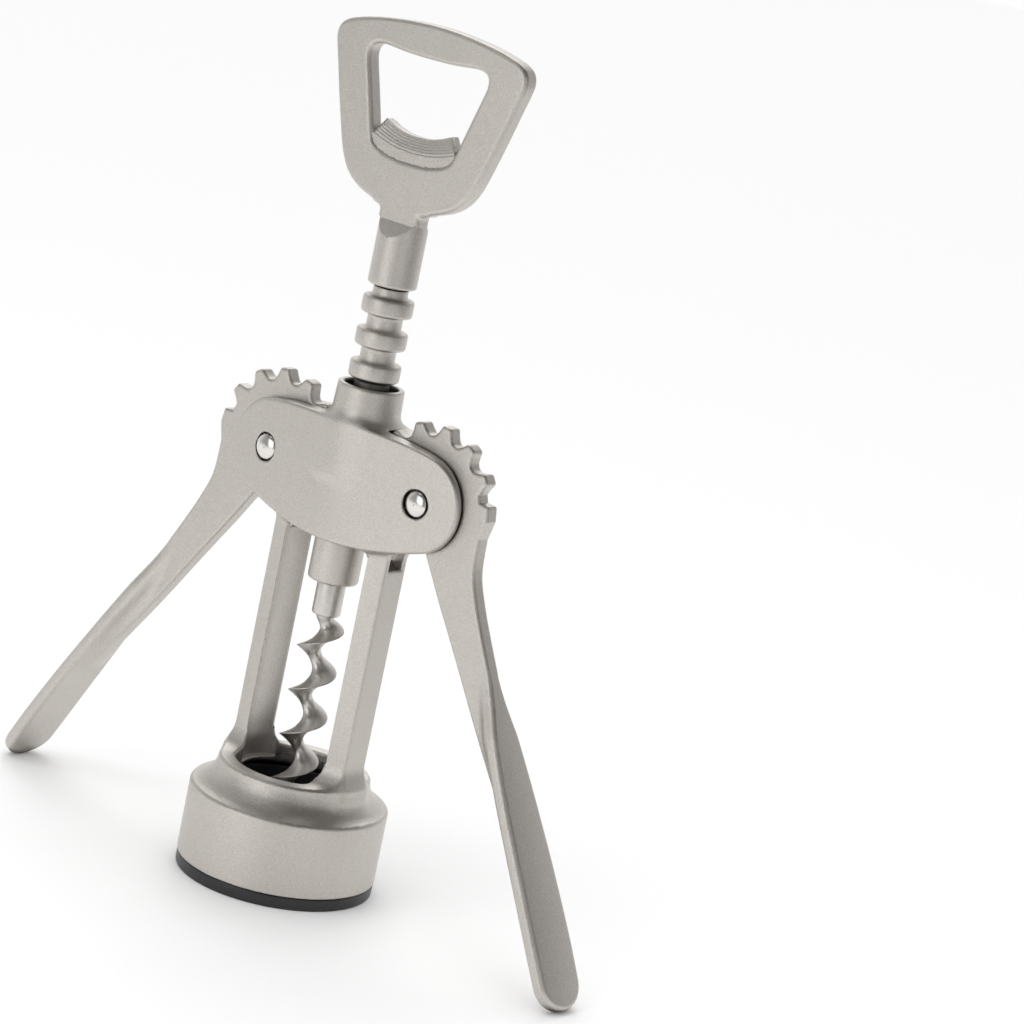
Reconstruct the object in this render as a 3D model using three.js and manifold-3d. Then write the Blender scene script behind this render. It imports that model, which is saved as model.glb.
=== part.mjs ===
// Twin-lever corkscrew. Millimetres, +Z up along the spindle, +X towards the right lever.
// The origin is the middle of the bottle rest, on the surface that it stands on.
import * as THREE from 'three';
import { mergeVertices } from 'three/addons/utils/BufferGeometryUtils.js';
import Module from 'manifold-3d';

const wasm = await Module();
wasm.setup();

// Clearances
const GAP = 0.3;
const CUT_OVERRUN = 2;
const QUARTER_TURN = 90;
const WELD_TOLERANCE = 1e-4;
const AXIS_TOLERANCE = 1e-6;

// Bell: the cup that sits on the bottle
const BELL_RADIUS = 22;
const BELL_WALL = 2.4;
const BELL_CYLINDER_TOP = 18.9;
const BELL_STEP = 0.45;
const BELL_COVE_BOW_INSET = 4.8;
const BELL_COVE_BOW_RISE = 1.8;
const BELL_COVE_STEPS = 6;
const BELL_TOP = 25.8;
const BELL_SHOULDER_INSET = 5.2;
const BELL_TOP_EDGE = 0.5;
const BELL_RIM_WIDTH = 3.6;
const BELL_ROOF_THICKNESS = 2.2;
const BELL_CAVITY_SHOULDER = 16.5;
const BELL_CAVITY_TOP_INSET = 6.2;
const BELL_CAVITY_WAIST = 22.3;
const BELL_SEGMENTS = 56;
const BELL_TOP_RADIUS = BELL_RADIUS - BELL_SHOULDER_INSET;
const BELL_HOLE_RADIUS = BELL_TOP_RADIUS - BELL_RIM_WIDTH;
const BELL_CAVITY_TOP_RADIUS = BELL_RADIUS - BELL_CAVITY_TOP_INSET;
const BELL_ROOF_UNDERSIDE = BELL_TOP - BELL_ROOF_THICKNESS;

// Bottle insert: foot ring and liner
const RING_HEIGHT = 2.85;
const RING_STEP = 0.15;
const RING_EDGE = 0.5;
const LINER_WALL = 3.2;
const LINER_TOP_WALL = 0.8;
const LINER_BORE_RADIUS = BELL_RADIUS - BELL_WALL - GAP - LINER_WALL;
const LINER_TOP_SETBACK = 2.4;
const LINER_TOP = BELL_CAVITY_WAIST - LINER_TOP_SETBACK;

// Legs
const LEG_INNER_SETBACK = 0.6;
const LEG_GROOVE_RADIUS = 8.5;
const LEG_INNER_HALF_WIDTH = 4.7;
const LEG_OUTER_SETBACK = 0.55;
const LEG_OUTER_HALF_WIDTH = 3.4;
const LEG_FOOT_EMBED = 2;
const LEG_TOP_EMBED = 2.4;
const LEG_ARC_STEPS = 8;
const LEG_INNER_REACH = BELL_HOLE_RADIUS - LEG_INNER_SETBACK;
const LEG_OUTER_REACH = BELL_TOP_RADIUS - LEG_OUTER_SETBACK;

// Head and neck
const PIVOT_REACH = 21.5;
const PIVOT_HEIGHT = 92;
const HEAD_END_RADIUS = 10.8;
const HEAD_END_SETBACK = 0.4;
const HEAD_END_TOP_ANGLE = 80;
const HEAD_END_BOTTOM_ANGLE = -62;
const HEAD_END_STEPS = 10;
const HEAD_RISE = 12.1;
const HEAD_DROP = 14.2;
const HEAD_TOP_BOW_SHARE = 0.75;
const HEAD_CENTRE_DEPTH = 7.6;
const HEAD_TAPER_SHARE = 0.14;
const HEAD_NOSE = 4;
const HEAD_PLAN_STEPS = 20;
const HEAD_CURVE_STEPS = 8;
const NECK_RADIUS = 7.2;
const NECK_BASE_RADIUS = 7.5;
const NECK_HEIGHT = 7.8;
const NECK_EDGE = 0.5;
const NECK_FILLET_RADIUS = 2;
const NECK_FILLET_STEPS = 4;
const NECK_SEGMENTS = 32;
const HEAD_TOP = PIVOT_HEIGHT + HEAD_RISE;
const HEAD_BOTTOM = PIVOT_HEIGHT - HEAD_DROP;
const NECK_TOP = HEAD_TOP + NECK_HEIGHT;

// Rack sleeve
const RACK_RADIUS = 5.55;
const RACK_GROOVE_RADIUS = 3.8;
const RACK_PITCH = 7.1;
const RACK_RING_HEIGHT = 3.8;
const RACK_RING_EDGE = 0.8;
const RACK_GROOVE_COUNT = 8;
const RACK_STAND = 20.95;
const RACK_PLAIN_END = 15.05;
const RACK_FOOT_EDGE = 0.6;
const RACK_SEGMENTS = 24;
const BORE_RADIUS = RACK_RADIUS + GAP;
const RACK_TOP_GROOVE = NECK_TOP + RACK_STAND;
const RACK_FOOT = RACK_TOP_GROOVE - (RACK_GROOVE_COUNT - 1) * RACK_PITCH - RACK_PLAIN_END;

// Gear sectors
const RACK_PITCH_RADIUS = 5.547;
const GEAR_RADIUS = PIVOT_REACH - RACK_PITCH_RADIUS;
const TOOTH_ANGLE = THREE.MathUtils.radToDeg(RACK_PITCH / GEAR_RADIUS);
const GEAR_TIP_RADIUS = PIVOT_REACH - RACK_GROOVE_RADIUS - GAP;
const GEAR_ROOT_DEPTH = 1.353;
const GEAR_ROOT_RADIUS = GEAR_RADIUS - GEAR_ROOT_DEPTH;
const TOOTH_ROOT_WIDTH = 5;
const TOOTH_PITCH_WIDTH = 3.3;
const TOOTH_TIP_WIDTH = 2.4;
const TOOTH_TIP_ROUND = 0.7;
const TEETH_OUTSIDE_MESH = 6;
const TEETH_INSIDE_MESH = 1;
const HUB_RADIUS = 9.6;
const HUB_STEPS = 4;
const SHOULDER_DROP = 0.5;
const SHOULDER_RADIUS = GEAR_TIP_RADIUS - SHOULDER_DROP;
const SHOULDER_START_ANGLE = 75;
const SHOULDER_END_ANGLE = 86;

// Lever arms
const LEVER_THICKNESS = 3.6;
const LEVER_SLOT_CLEARANCE = 0.3;
const LEVER_SPREAD_ANGLE = 30;
const ARM_INNER_OFFSET = -3;
const ARM_STEPS = 18;
const ARM_OUTER_OFFSET = 7.6;
const PADDLE_THICKNESS = 3.1;
const PADDLE_START = 38;
const PADDLE_HALF_WIDTH = 6.6;
const PADDLE_EDGE = 1.1;
const PADDLE_TIP_EDGE = 0.6;
const PADDLE_TIP_STEPS = 6;
const PADDLE_TIP_BLUNT_SHARE = 0.15;
const WEB_RAMP_START = 35;
const WEB_RAMP_END = 45;

// Pivot rivets
const RIVET_RADIUS = 2.2;
const RIVET_HEAD_RADIUS = 2.75;
const RIVET_HEAD_HEIGHT = 1;
const RIVET_RECESS_RADIUS = 3.15;
const RIVET_RECESS_DEPTH = 0.9;
const RIVET_SEGMENTS = 24;
// Half section of a domed head, as shares of its radius and of its height
const RIVET_DOME_SHARES = [[1, 0], [1, 0.35], [0.8, 0.75], [0.4, 0.96], [0, 1]];

// Worm and its shaft
const SHAFT_RADIUS = 2.6;
const SHANK_RADIUS = 3.15;
const SHANK_LENGTH = 7.7;
const SHANK_WAIST = 1.1;
const WORM_RADIUS = 4.9;
const WORM_CORE_RADIUS = 1.75;
const WORM_CORE_OFFSET = 1.2;
const WORM_PITCH = 10.2;
const WORM_LENGTH = 50.4;
const WORM_TAPER = 9;
const WORM_TIP_SHARE = 0.06;
const WORM_RUN_OUT = 4;
const WORM_BLADE_ANGLE = 62;
const WORM_BLADE_SHARPNESS = 1.7;
const WORM_START_ANGLE = 158;
const WORM_STEPS = 70;
const WORM_SIDES = 20;
const SHANK_BOTTOM = RACK_FOOT - SHANK_LENGTH;
const WORM_TIP = SHANK_BOTTOM - WORM_LENGTH;

// Handle
const HANDLE_YAW = 3;
const HANDLE_HEIGHT = 39.7;
const HANDLE_HALF_WIDTH = 25.1;
const HANDLE_THICKNESS = 4.3;
const HANDLE_SET = 0.8;
const HANDLE_EDGE = 0.8;
const HANDLE_CURVE_STEPS = 60;
const WINDOW_CURVE_STEPS = 48;
const LIP_FRONT_SETBACK = 0.5;
const LIP_REAR_SETBACK = 0.6;
const LIP_STEPS = 6;
const LIP_STEP_HEIGHT = 0.56;
const LIP_STEP_DEPTH = 0.16;
const LIP_FLARE = 0.25;
const LIP_CURVE_STEPS = 6;
const STEM_RADIUS = 5.3;
const STEM_SEAT = 0.8;
const STEM_LENGTH = 16.05;
const STEM_EMBED = 2.8;
const STEM_EDGE = 0.6;
const STEM_FLAT_LENGTH = 5.4;
const STEM_FLAT_RUN_OUT = 3.3;
const SOCKET_DEPTH = 11.5;
const SOCKET_RIB_HEIGHT = 6;
const SOCKET_RIB_LENGTH = 3;
const SHAFT_GROOVE_DEPTH = 0.7;
const STEM_FOOT = RACK_TOP_GROOVE + STEM_SEAT;
const HANDLE_PLATE_FOOT = STEM_FOOT + STEM_LENGTH;
const STEM_TOP = HANDLE_PLATE_FOOT + STEM_EMBED;
const STEM_FLAT_FOOT = HANDLE_PLATE_FOOT - STEM_FLAT_LENGTH;

// Outline of half the handle plate, as shares of its half width and of its height
const HANDLE_OUTLINE_SHARES = [
  [0.21, 0.005], [0.33, 0.03], [0.45, 0.057], [0.55, 0.093], [0.63, 0.141], [0.69, 0.201], [0.74, 0.276],
  [0.8, 0.39], [0.87, 0.53], [0.94, 0.68], [0.985, 0.775], [1, 0.825], [0.985, 0.872], [0.93, 0.908],
  [0.82, 0.936], [0.6, 0.967], [0.3, 0.991], [0, 1],
];
// Outline of half the window, in the same shares, from the middle of its sill up
const WINDOW_OUTLINE_SHARES = [
  [0, 0.262], [0.12, 0.264], [0.24, 0.275], [0.34, 0.294], [0.41, 0.326], [0.447, 0.39], [0.5, 0.505],
  [0.55, 0.61], [0.603, 0.72], [0.618, 0.77], [0.6, 0.812], [0.54, 0.833], [0.45, 0.834], [0.28, 0.824],
  [0.14, 0.82], [0, 0.819],
];
// Hollow upper edge of half the cap-lifting lip, from its middle out to the horn
const LIP_EDGE_SHARES = [[0, 0.405], [0.12, 0.41], [0.24, 0.43], [0.345, 0.457]];
// Top of the plain ledge between the horn and the window's wall, and its foot inside the plate
const LIP_LEDGE_SHARES = [[0.47, 0.398], [0.54, 0.398], [0.54, 0.24], [0, 0.24]];
// Arm outline past the hub, as shares of the arm's length and of the outer edge's offset
const ARM_OUTER_SHARES = [
  [0.098, 1.59], [0.16, 1.15], [0.22, 1.02], [0.284, 0.975], [0.384, 0.955], [0.484, 0.965],
  [0.603, 1], [0.73, 1.045], [0.868, 1.065], [1, 1.04],
];
const ARM_INNER_SHARES = [[0.7, 0.56], [0.58, 0.28], [0.466, 0.07], [0.31, -0.12], [0.19, -0.28]];
// Half width of the paddle along its length, as shares of both
const PADDLE_WIDTH_SHARES = [
  [0, 0.25], [0.045, 0.28], [0.1, 0.37], [0.15, 0.5], [0.2, 0.62], [0.3, 0.76], [0.4, 0.85], [0.55, 0.93],
  [0.7, 0.98], [0.82, 1], [0.92, 0.985],
];

const COLOURS = { nickel: 0xb9b4ad, bright: 0xc9c6c0, steel: 0x9a9792, black: 0x26262a };

const radians = THREE.MathUtils.degToRad;

// A closed mesh as a solid that can be joined and cut
function solid(geometry) {
  const bare = geometry.index ? geometry.toNonIndexed() : geometry.clone();
  bare.deleteAttribute('normal');
  bare.deleteAttribute('uv');
  const merged = mergeVertices(bare, WELD_TOLERANCE);
  return new wasm.Manifold(new wasm.Mesh({
    numProp: 3,
    vertProperties: merged.attributes.position.array,
    triVerts: merged.index.array,
  }));
}

// Rings of points joined into a tube that is closed at both ends
function lofted(positions, sides) {
  const rings = positions.length / 3 / sides;
  const index = [];
  for (let i = 0; i + 1 < rings; i += 1) {
    for (let j = 0; j < sides; j += 1) {
      const [near, next] = [i * sides + j, i * sides + (j + 1) % sides];
      index.push(near, next, next + sides, near, next + sides, near + sides);
    }
  }
  const last = (rings - 1) * sides;
  for (let j = 1; j + 1 < sides; j += 1) {
    index.push(0, j + 1, j, last, last + j, last + j + 1);
  }
  const geometry = new THREE.BufferGeometry();
  geometry.setAttribute('position', new THREE.Float32BufferAttribute(positions, 3));
  geometry.setIndex(index);
  return geometry;
}

function geometryOf(manifold) {
  const mesh = manifold.getMesh();
  const geometry = new THREE.BufferGeometry();
  geometry.setAttribute('position', new THREE.BufferAttribute(mesh.vertProperties, 3));
  geometry.setIndex(new THREE.BufferAttribute(mesh.triVerts, 1));
  geometry.computeVertexNormals();
  return geometry;
}

// A solid of revolution about Z from [radius, height] points
function turned(profile, segments) {
  const points = profile.map(([radius, height]) => new THREE.Vector2(radius, height));
  return new THREE.LatheGeometry(points, segments).rotateX(Math.PI / 2);
}

function closedProfile(profile) {
  return [...profile, profile[0]];
}

function shapeOf(points) {
  return new THREE.Shape(points.map(([x, y]) => new THREE.Vector2(x, y)));
}

// A prism along Y, centred on the XZ plane, from an outline of [x, z] points
function prismAlongY(shape, thickness, edge = 0) {
  const geometry = new THREE.ExtrudeGeometry(shape, {
    depth: thickness - 2 * edge,
    curveSegments: 1,
    bevelEnabled: edge > 0,
    bevelThickness: edge,
    bevelSize: edge,
    bevelOffset: -edge,
    bevelSegments: 2,
  });
  return geometry.translate(0, 0, edge - thickness / 2).rotateX(Math.PI / 2);
}

// A prism along Z from an outline of [x, y] points
function prismAlongZ(points, bottom, top) {
  const geometry = new THREE.ExtrudeGeometry(shapeOf(points), { depth: top - bottom, bevelEnabled: false });
  return geometry.translate(0, 0, bottom);
}

function cylinderAlongY(radius, length, segments, x, z) {
  return new THREE.CylinderGeometry(radius, radius, length, segments).translate(x, 0, z);
}

// Points of an arc about a centre, angles in degrees from +X towards +Z
function arc(centreX, centreZ, radius, from, to, steps) {
  const points = [];
  for (let i = 0; i <= steps; i += 1) {
    const angle = radians(from + (to - from) * i / steps);
    points.push([centreX + radius * Math.cos(angle), centreZ + radius * Math.sin(angle)]);
  }
  return points;
}

function quadratic(start, control, end, steps) {
  const curve = new THREE.QuadraticBezierCurve(
    new THREE.Vector2(...start),
    new THREE.Vector2(...control),
    new THREE.Vector2(...end),
  );
  return curve.getPoints(steps).map((point) => [point.x, point.y]);
}

function spline(points, steps) {
  const curve = new THREE.SplineCurve(points.map(([x, y]) => new THREE.Vector2(x, y)));
  return curve.getPoints(steps).map((point) => [point.x, point.y]);
}

function closedSpline(points, steps) {
  return spline([...points, points[0]], steps).slice(0, -1);
}

// A half outline that starts or ends on the axis, closed by its mirror image
function mirroredOutline(half) {
  const mirror = half.filter(([x]) => x > AXIS_TOLERANCE).map(([x, y]) => [-x, y]).reverse();
  return [...half, ...mirror];
}

function bell() {
  const innerRadius = BELL_RADIUS - BELL_WALL;
  const cove = quadratic(
    [BELL_RADIUS - BELL_STEP, BELL_CYLINDER_TOP + BELL_STEP],
    [BELL_RADIUS - BELL_COVE_BOW_INSET, BELL_CYLINDER_TOP + BELL_COVE_BOW_RISE],
    [BELL_TOP_RADIUS, BELL_TOP - BELL_TOP_EDGE],
    BELL_COVE_STEPS,
  );
  return solid(turned(closedProfile([
    [innerRadius, RING_HEIGHT],
    [BELL_RADIUS, RING_HEIGHT],
    [BELL_RADIUS, BELL_CYLINDER_TOP],
    ...cove,
    [BELL_TOP_RADIUS - BELL_TOP_EDGE, BELL_TOP],
    [BELL_HOLE_RADIUS, BELL_TOP],
    [BELL_HOLE_RADIUS, BELL_ROOF_UNDERSIDE],
    [BELL_CAVITY_TOP_RADIUS, BELL_ROOF_UNDERSIDE],
    [BELL_CAVITY_TOP_RADIUS, BELL_CAVITY_WAIST],
    [innerRadius, BELL_CAVITY_SHOULDER],
  ]), BELL_SEGMENTS));
}

// One leg: flat outside, hollow towards the spindle
function leg(side) {
  const spread = THREE.MathUtils.radToDeg(Math.asin(LEG_INNER_HALF_WIDTH / LEG_GROOVE_RADIUS));
  const grooveCentre = LEG_INNER_REACH - LEG_GROOVE_RADIUS;
  const inner = arc(grooveCentre, 0, LEG_GROOVE_RADIUS, -spread, spread, LEG_ARC_STEPS);
  const outline = [
    ...inner,
    [LEG_OUTER_REACH, LEG_OUTER_HALF_WIDTH],
    [LEG_OUTER_REACH, -LEG_OUTER_HALF_WIDTH],
  ].map(([x, y]) => [side * x, y]);
  return solid(prismAlongZ(outline, BELL_TOP - LEG_FOOT_EMBED, HEAD_BOTTOM + LEG_TOP_EMBED));
}

// Front view of the head: round ends about the pivots, a bowed underside and top
function headFront() {
  const angles = [HEAD_END_BOTTOM_ANGLE, HEAD_END_TOP_ANGLE];
  const centre = PIVOT_REACH - HEAD_END_SETBACK;
  const end = arc(centre, PIVOT_HEIGHT, HEAD_END_RADIUS, ...angles, HEAD_END_STEPS);
  const endBottom = end[0];
  const endTop = end[end.length - 1];
  const bottom = quadratic([0, HEAD_BOTTOM], [endBottom[0] / 2, HEAD_BOTTOM], endBottom, HEAD_CURVE_STEPS);
  const top = quadratic(endTop, [endTop[0] * HEAD_TOP_BOW_SHARE, HEAD_TOP], [0, HEAD_TOP], HEAD_CURVE_STEPS);
  return shapeOf(mirroredOutline([...bottom, ...end.slice(1), ...top.slice(1)]));
}

function headDepthAt(x) {
  return HEAD_CENTRE_DEPTH - HEAD_TAPER_SHARE * (Math.hypot(x, HEAD_NOSE) - HEAD_NOSE);
}

// Top view of the head: thin at the pivots, thicker round the rack
function headPlan() {
  const reach = PIVOT_REACH + HEAD_END_RADIUS + CUT_OVERRUN;
  const front = [];
  for (let i = 0; i <= HEAD_PLAN_STEPS; i += 1) {
    const x = reach * (2 * i / HEAD_PLAN_STEPS - 1);
    front.push([x, -headDepthAt(x)]);
  }
  return [...front, ...front.map(([x, y]) => [x, -y]).reverse()];
}

function neck() {
  const filletTop = HEAD_TOP + NECK_FILLET_RADIUS;
  const filletReach = NECK_BASE_RADIUS + NECK_FILLET_RADIUS;
  const angles = [-QUARTER_TURN, -2 * QUARTER_TURN];
  const fillet = arc(filletReach, filletTop, NECK_FILLET_RADIUS, ...angles, NECK_FILLET_STEPS);
  return solid(turned([
    [0, HEAD_TOP - NECK_FILLET_RADIUS],
    [filletReach, HEAD_TOP - NECK_FILLET_RADIUS],
    ...fillet,
    [NECK_RADIUS, NECK_TOP - NECK_EDGE],
    [NECK_RADIUS - NECK_EDGE, NECK_TOP],
    [0, NECK_TOP],
  ], NECK_SEGMENTS));
}

// Room for a gear sector: a disc about the pivot, which also opens the top of the leg
function leverSlot(side) {
  const width = LEVER_THICKNESS + 2 * LEVER_SLOT_CLEARANCE;
  const radius = GEAR_TIP_RADIUS + LEVER_SLOT_CLEARANCE;
  return solid(cylinderAlongY(radius, width, BELL_SEGMENTS, side * PIVOT_REACH, PIVOT_HEIGHT));
}

function bodyCasting() {
  const depth = 2 * HEAD_CENTRE_DEPTH + CUT_OVERRUN;
  const plan = solid(prismAlongZ(headPlan(), HEAD_BOTTOM - CUT_OVERRUN, NECK_TOP));
  const neckRoot = solid(prismAlongZ(headPlan(), HEAD_TOP - NECK_FILLET_RADIUS, NECK_TOP));
  let body = solid(prismAlongY(headFront(), depth)).intersect(plan);
  body = body.add(neck().intersect(neckRoot)).add(bell()).add(leg(1)).add(leg(-1));
  const boreLength = NECK_TOP - HEAD_BOTTOM + 2 * CUT_OVERRUN;
  const bore = new THREE.CylinderGeometry(BORE_RADIUS, BORE_RADIUS, boreLength, NECK_SEGMENTS);
  body = body.subtract(solid(bore.rotateX(Math.PI / 2).translate(0, 0, (NECK_TOP + HEAD_BOTTOM) / 2)));
  const recessFloor = headDepthAt(PIVOT_REACH) - RIVET_RECESS_DEPTH;
  for (const side of [-1, 1]) {
    const x = side * PIVOT_REACH;
    body = body.subtract(leverSlot(side));
    body = body.subtract(solid(cylinderAlongY(RIVET_RADIUS + GAP, depth, RIVET_SEGMENTS, x, PIVOT_HEIGHT)));
    for (const face of [-1, 1]) {
      const recess = cylinderAlongY(RIVET_RECESS_RADIUS, HEAD_CENTRE_DEPTH, RIVET_SEGMENTS, x, PIVOT_HEIGHT);
      recess.translate(0, face * (recessFloor + HEAD_CENTRE_DEPTH / 2), 0);
      body = body.subtract(solid(recess));
    }
  }
  return geometryOf(body);
}

function bottleInsert() {
  const ringRadius = BELL_RADIUS - RING_STEP;
  const sleeveRadius = BELL_RADIUS - BELL_WALL - GAP;
  const linerTopRadius = LINER_BORE_RADIUS + LINER_TOP_WALL;
  return turned(closedProfile([
    [LINER_BORE_RADIUS + RING_EDGE, 0],
    [ringRadius - RING_EDGE, 0],
    [ringRadius, RING_EDGE],
    [ringRadius, RING_HEIGHT],
    [sleeveRadius, RING_HEIGHT],
    [sleeveRadius, BELL_CAVITY_SHOULDER - GAP],
    [linerTopRadius, LINER_TOP],
    [LINER_BORE_RADIUS, LINER_TOP],
    [LINER_BORE_RADIUS, RING_EDGE],
  ]), BELL_SEGMENTS);
}

function rackSleeve() {
  const profile = [[SHAFT_RADIUS + GAP, RACK_FOOT], [RACK_RADIUS - RACK_FOOT_EDGE, RACK_FOOT]];
  profile.push([RACK_RADIUS, RACK_FOOT + RACK_FOOT_EDGE]);
  const grooveHalf = (RACK_PITCH - RACK_RING_HEIGHT) / 2;
  for (let i = RACK_GROOVE_COUNT - 1; i >= 0; i -= 1) {
    const middle = RACK_TOP_GROOVE - i * RACK_PITCH;
    profile.push([RACK_RADIUS, middle - grooveHalf - RACK_RING_EDGE]);
    profile.push([RACK_RADIUS - RACK_RING_EDGE, middle - grooveHalf]);
    profile.push([RACK_GROOVE_RADIUS, middle - grooveHalf]);
    if (i > 0) {
      profile.push([RACK_GROOVE_RADIUS, middle + grooveHalf]);
      profile.push([RACK_RADIUS - RACK_RING_EDGE, middle + grooveHalf]);
      profile.push([RACK_RADIUS, middle + grooveHalf + RACK_RING_EDGE]);
    }
  }
  profile.push([RACK_GROOVE_RADIUS, STEM_FOOT - GAP], [SHAFT_RADIUS + GAP, STEM_FOOT - GAP]);
  return turned(closedProfile(profile), RACK_SEGMENTS);
}

// A point of the lever in its own plane: angle clockwise from +Z towards the outside
function polar(radius, angle) {
  return [radius * Math.sin(radians(angle)), radius * Math.cos(radians(angle))];
}

// A point given along the arm from the pivot and off its centre line, outwards
function alongArm(distance, offset) {
  const spread = radians(LEVER_SPREAD_ANGLE);
  return [
    distance * Math.sin(spread) + offset * Math.cos(spread),
    offset * Math.sin(spread) - distance * Math.cos(spread),
  ];
}

function tooth(angle) {
  const half = (width, radius) => THREE.MathUtils.radToDeg(width / 2 / radius);
  const flank = [
    [GEAR_ROOT_RADIUS, half(TOOTH_ROOT_WIDTH, GEAR_ROOT_RADIUS)],
    [GEAR_RADIUS, half(TOOTH_PITCH_WIDTH, GEAR_RADIUS)],
    [GEAR_TIP_RADIUS - TOOTH_TIP_ROUND, half(TOOTH_TIP_WIDTH, GEAR_TIP_RADIUS)],
    [GEAR_TIP_RADIUS, half(TOOTH_TIP_WIDTH - TOOTH_TIP_ROUND * 2, GEAR_TIP_RADIUS)],
  ];
  const rising = flank.map(([radius, spread]) => polar(radius, angle - spread));
  const falling = flank.map(([radius, spread]) => polar(radius, angle + spread)).reverse();
  return [...rising, ...falling];
}

// The tooth nearest the rack sits in the groove nearest the pivot's height
function meshedToothAngle() {
  const groovesDown = Math.round((RACK_TOP_GROOVE - PIVOT_HEIGHT) / RACK_PITCH);
  const groove = RACK_TOP_GROOVE - groovesDown * RACK_PITCH;
  return THREE.MathUtils.radToDeg((groove - PIVOT_HEIGHT) / GEAR_RADIUS) - QUARTER_TURN;
}

// The arm is as long as it takes for its tip's lower edge to touch the surface below
function armLength() {
  const spread = radians(LEVER_SPREAD_ANGLE);
  const tipOffset = ARM_OUTER_SHARES[ARM_OUTER_SHARES.length - 1][1] * ARM_OUTER_OFFSET;
  const lowest = tipOffset - PADDLE_THICKNESS + PADDLE_TIP_EDGE;
  return (PIVOT_HEIGHT + lowest * Math.sin(spread)) / Math.cos(spread);
}

// Points along and off the arm, from shares of its length and of its outer offset
function armPoints(shares) {
  return shares.map(([along, off]) => [along * armLength(), off * ARM_OUTER_OFFSET]);
}

// Offset of the arm's outer edge at a distance along it
function outerOffsetAt(distance) {
  const edge = spline(armPoints(ARM_OUTER_SHARES), ARM_STEPS);
  const next = edge.findIndex(([along]) => along >= distance);
  if (next < 1) {
    return edge[edge.length - 1][1];
  }
  const [before, after] = [edge[next - 1], edge[next]];
  const share = (distance - before[0]) / (after[0] - before[0]);
  return before[1] + share * (after[1] - before[1]);
}

// Outer edge of the arm's plate, which moves in under the paddle where that has grown wide
function webOuterEdge() {
  const end = ARM_INNER_SHARES[0][0] * armLength();
  const edge = spline(armPoints(ARM_OUTER_SHARES), ARM_STEPS).filter(([along]) => along < end);
  return edge.map(([along, off]) => {
    const ramp = THREE.MathUtils.clamp((along - WEB_RAMP_START) / (WEB_RAMP_END - WEB_RAMP_START), 0, 1);
    return [along, off - ramp * PADDLE_THICKNESS / 2];
  });
}

function leverPlateOutline() {
  const points = [];
  const meshed = meshedToothAngle();
  const first = meshed - TEETH_INSIDE_MESH * TOOTH_ANGLE;
  points.push(polar(HUB_RADIUS, first - TOOTH_ANGLE));
  points.push(polar(GEAR_ROOT_RADIUS, first - TOOTH_ANGLE / 2));
  for (let i = -TEETH_INSIDE_MESH; i <= TEETH_OUTSIDE_MESH; i += 1) {
    points.push(...tooth(meshed + i * TOOTH_ANGLE));
  }
  points.push(polar(GEAR_ROOT_RADIUS, SHOULDER_START_ANGLE - TOOTH_ANGLE / 4));
  points.push(polar(SHOULDER_RADIUS, SHOULDER_START_ANGLE));
  points.push(polar(SHOULDER_RADIUS, SHOULDER_END_ANGLE));
  for (const [along, off] of webOuterEdge()) {
    points.push(alongArm(along, off));
  }
  for (const [along, off] of armPoints(ARM_INNER_SHARES)) {
    points.push(alongArm(along, off));
  }
  const hubStart = alongArm(HUB_RADIUS, ARM_INNER_OFFSET);
  const startAngle = THREE.MathUtils.radToDeg(Math.atan2(hubStart[0], hubStart[1]));
  const endAngle = first - TOOTH_ANGLE + 360;
  for (let i = 0; i < HUB_STEPS; i += 1) {
    points.push(polar(HUB_RADIUS, startAngle + (endAngle - startAngle) * i / HUB_STEPS));
  }
  return points;
}

// Half widths of the paddle at distances along the arm, its tip a half ellipse
function paddleStations() {
  const length = armLength() - PADDLE_START;
  const stations = PADDLE_WIDTH_SHARES.map(([along, width]) => (
    [PADDLE_START + along * length, width * PADDLE_HALF_WIDTH]
  ));
  const [lastAlong, lastWidth] = stations[stations.length - 1];
  const tipReach = armLength() - lastAlong;
  for (let i = 1; i <= PADDLE_TIP_STEPS; i += 1) {
    const angle = Math.PI / 2 * i / PADDLE_TIP_STEPS;
    const width = lastWidth * Math.max(Math.cos(angle), PADDLE_TIP_BLUNT_SHARE);
    stations.push([lastAlong + tipReach * Math.sin(angle), width]);
  }
  return stations;
}

// The paddle: sections across the arm, their outer side on the arm's outer edge
function paddle() {
  const stations = paddleStations();
  const positions = [];
  for (const [along, halfWidth] of stations) {
    const edge = Math.min(PADDLE_EDGE, halfWidth / 2);
    const thin = Math.max(0, PADDLE_TIP_EDGE - (armLength() - along));
    const outer = outerOffsetAt(along) - thin;
    const inner = outerOffsetAt(along) - PADDLE_THICKNESS + thin;
    const bevel = Math.min(edge, (outer - inner) / 4);
    const section = [
      [edge - halfWidth, inner], [halfWidth - edge, inner], [halfWidth, inner + bevel],
      [halfWidth, outer - bevel], [halfWidth - edge, outer], [edge - halfWidth, outer],
      [-halfWidth, outer - bevel], [-halfWidth, inner + bevel],
    ];
    for (const [across, off] of section) {
      const [x, z] = alongArm(along, off);
      positions.push(x, across, z);
    }
  }
  return solid(lofted(positions, positions.length / 3 / stations.length));
}

function leverGeometry() {
  const plate = solid(prismAlongY(shapeOf(leverPlateOutline()), LEVER_THICKNESS));
  const hole = cylinderAlongY(RIVET_RADIUS + GAP, 2 * LEVER_THICKNESS, RIVET_SEGMENTS, 0, 0);
  return geometryOf(plate.add(paddle()).subtract(solid(hole)));
}

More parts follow.
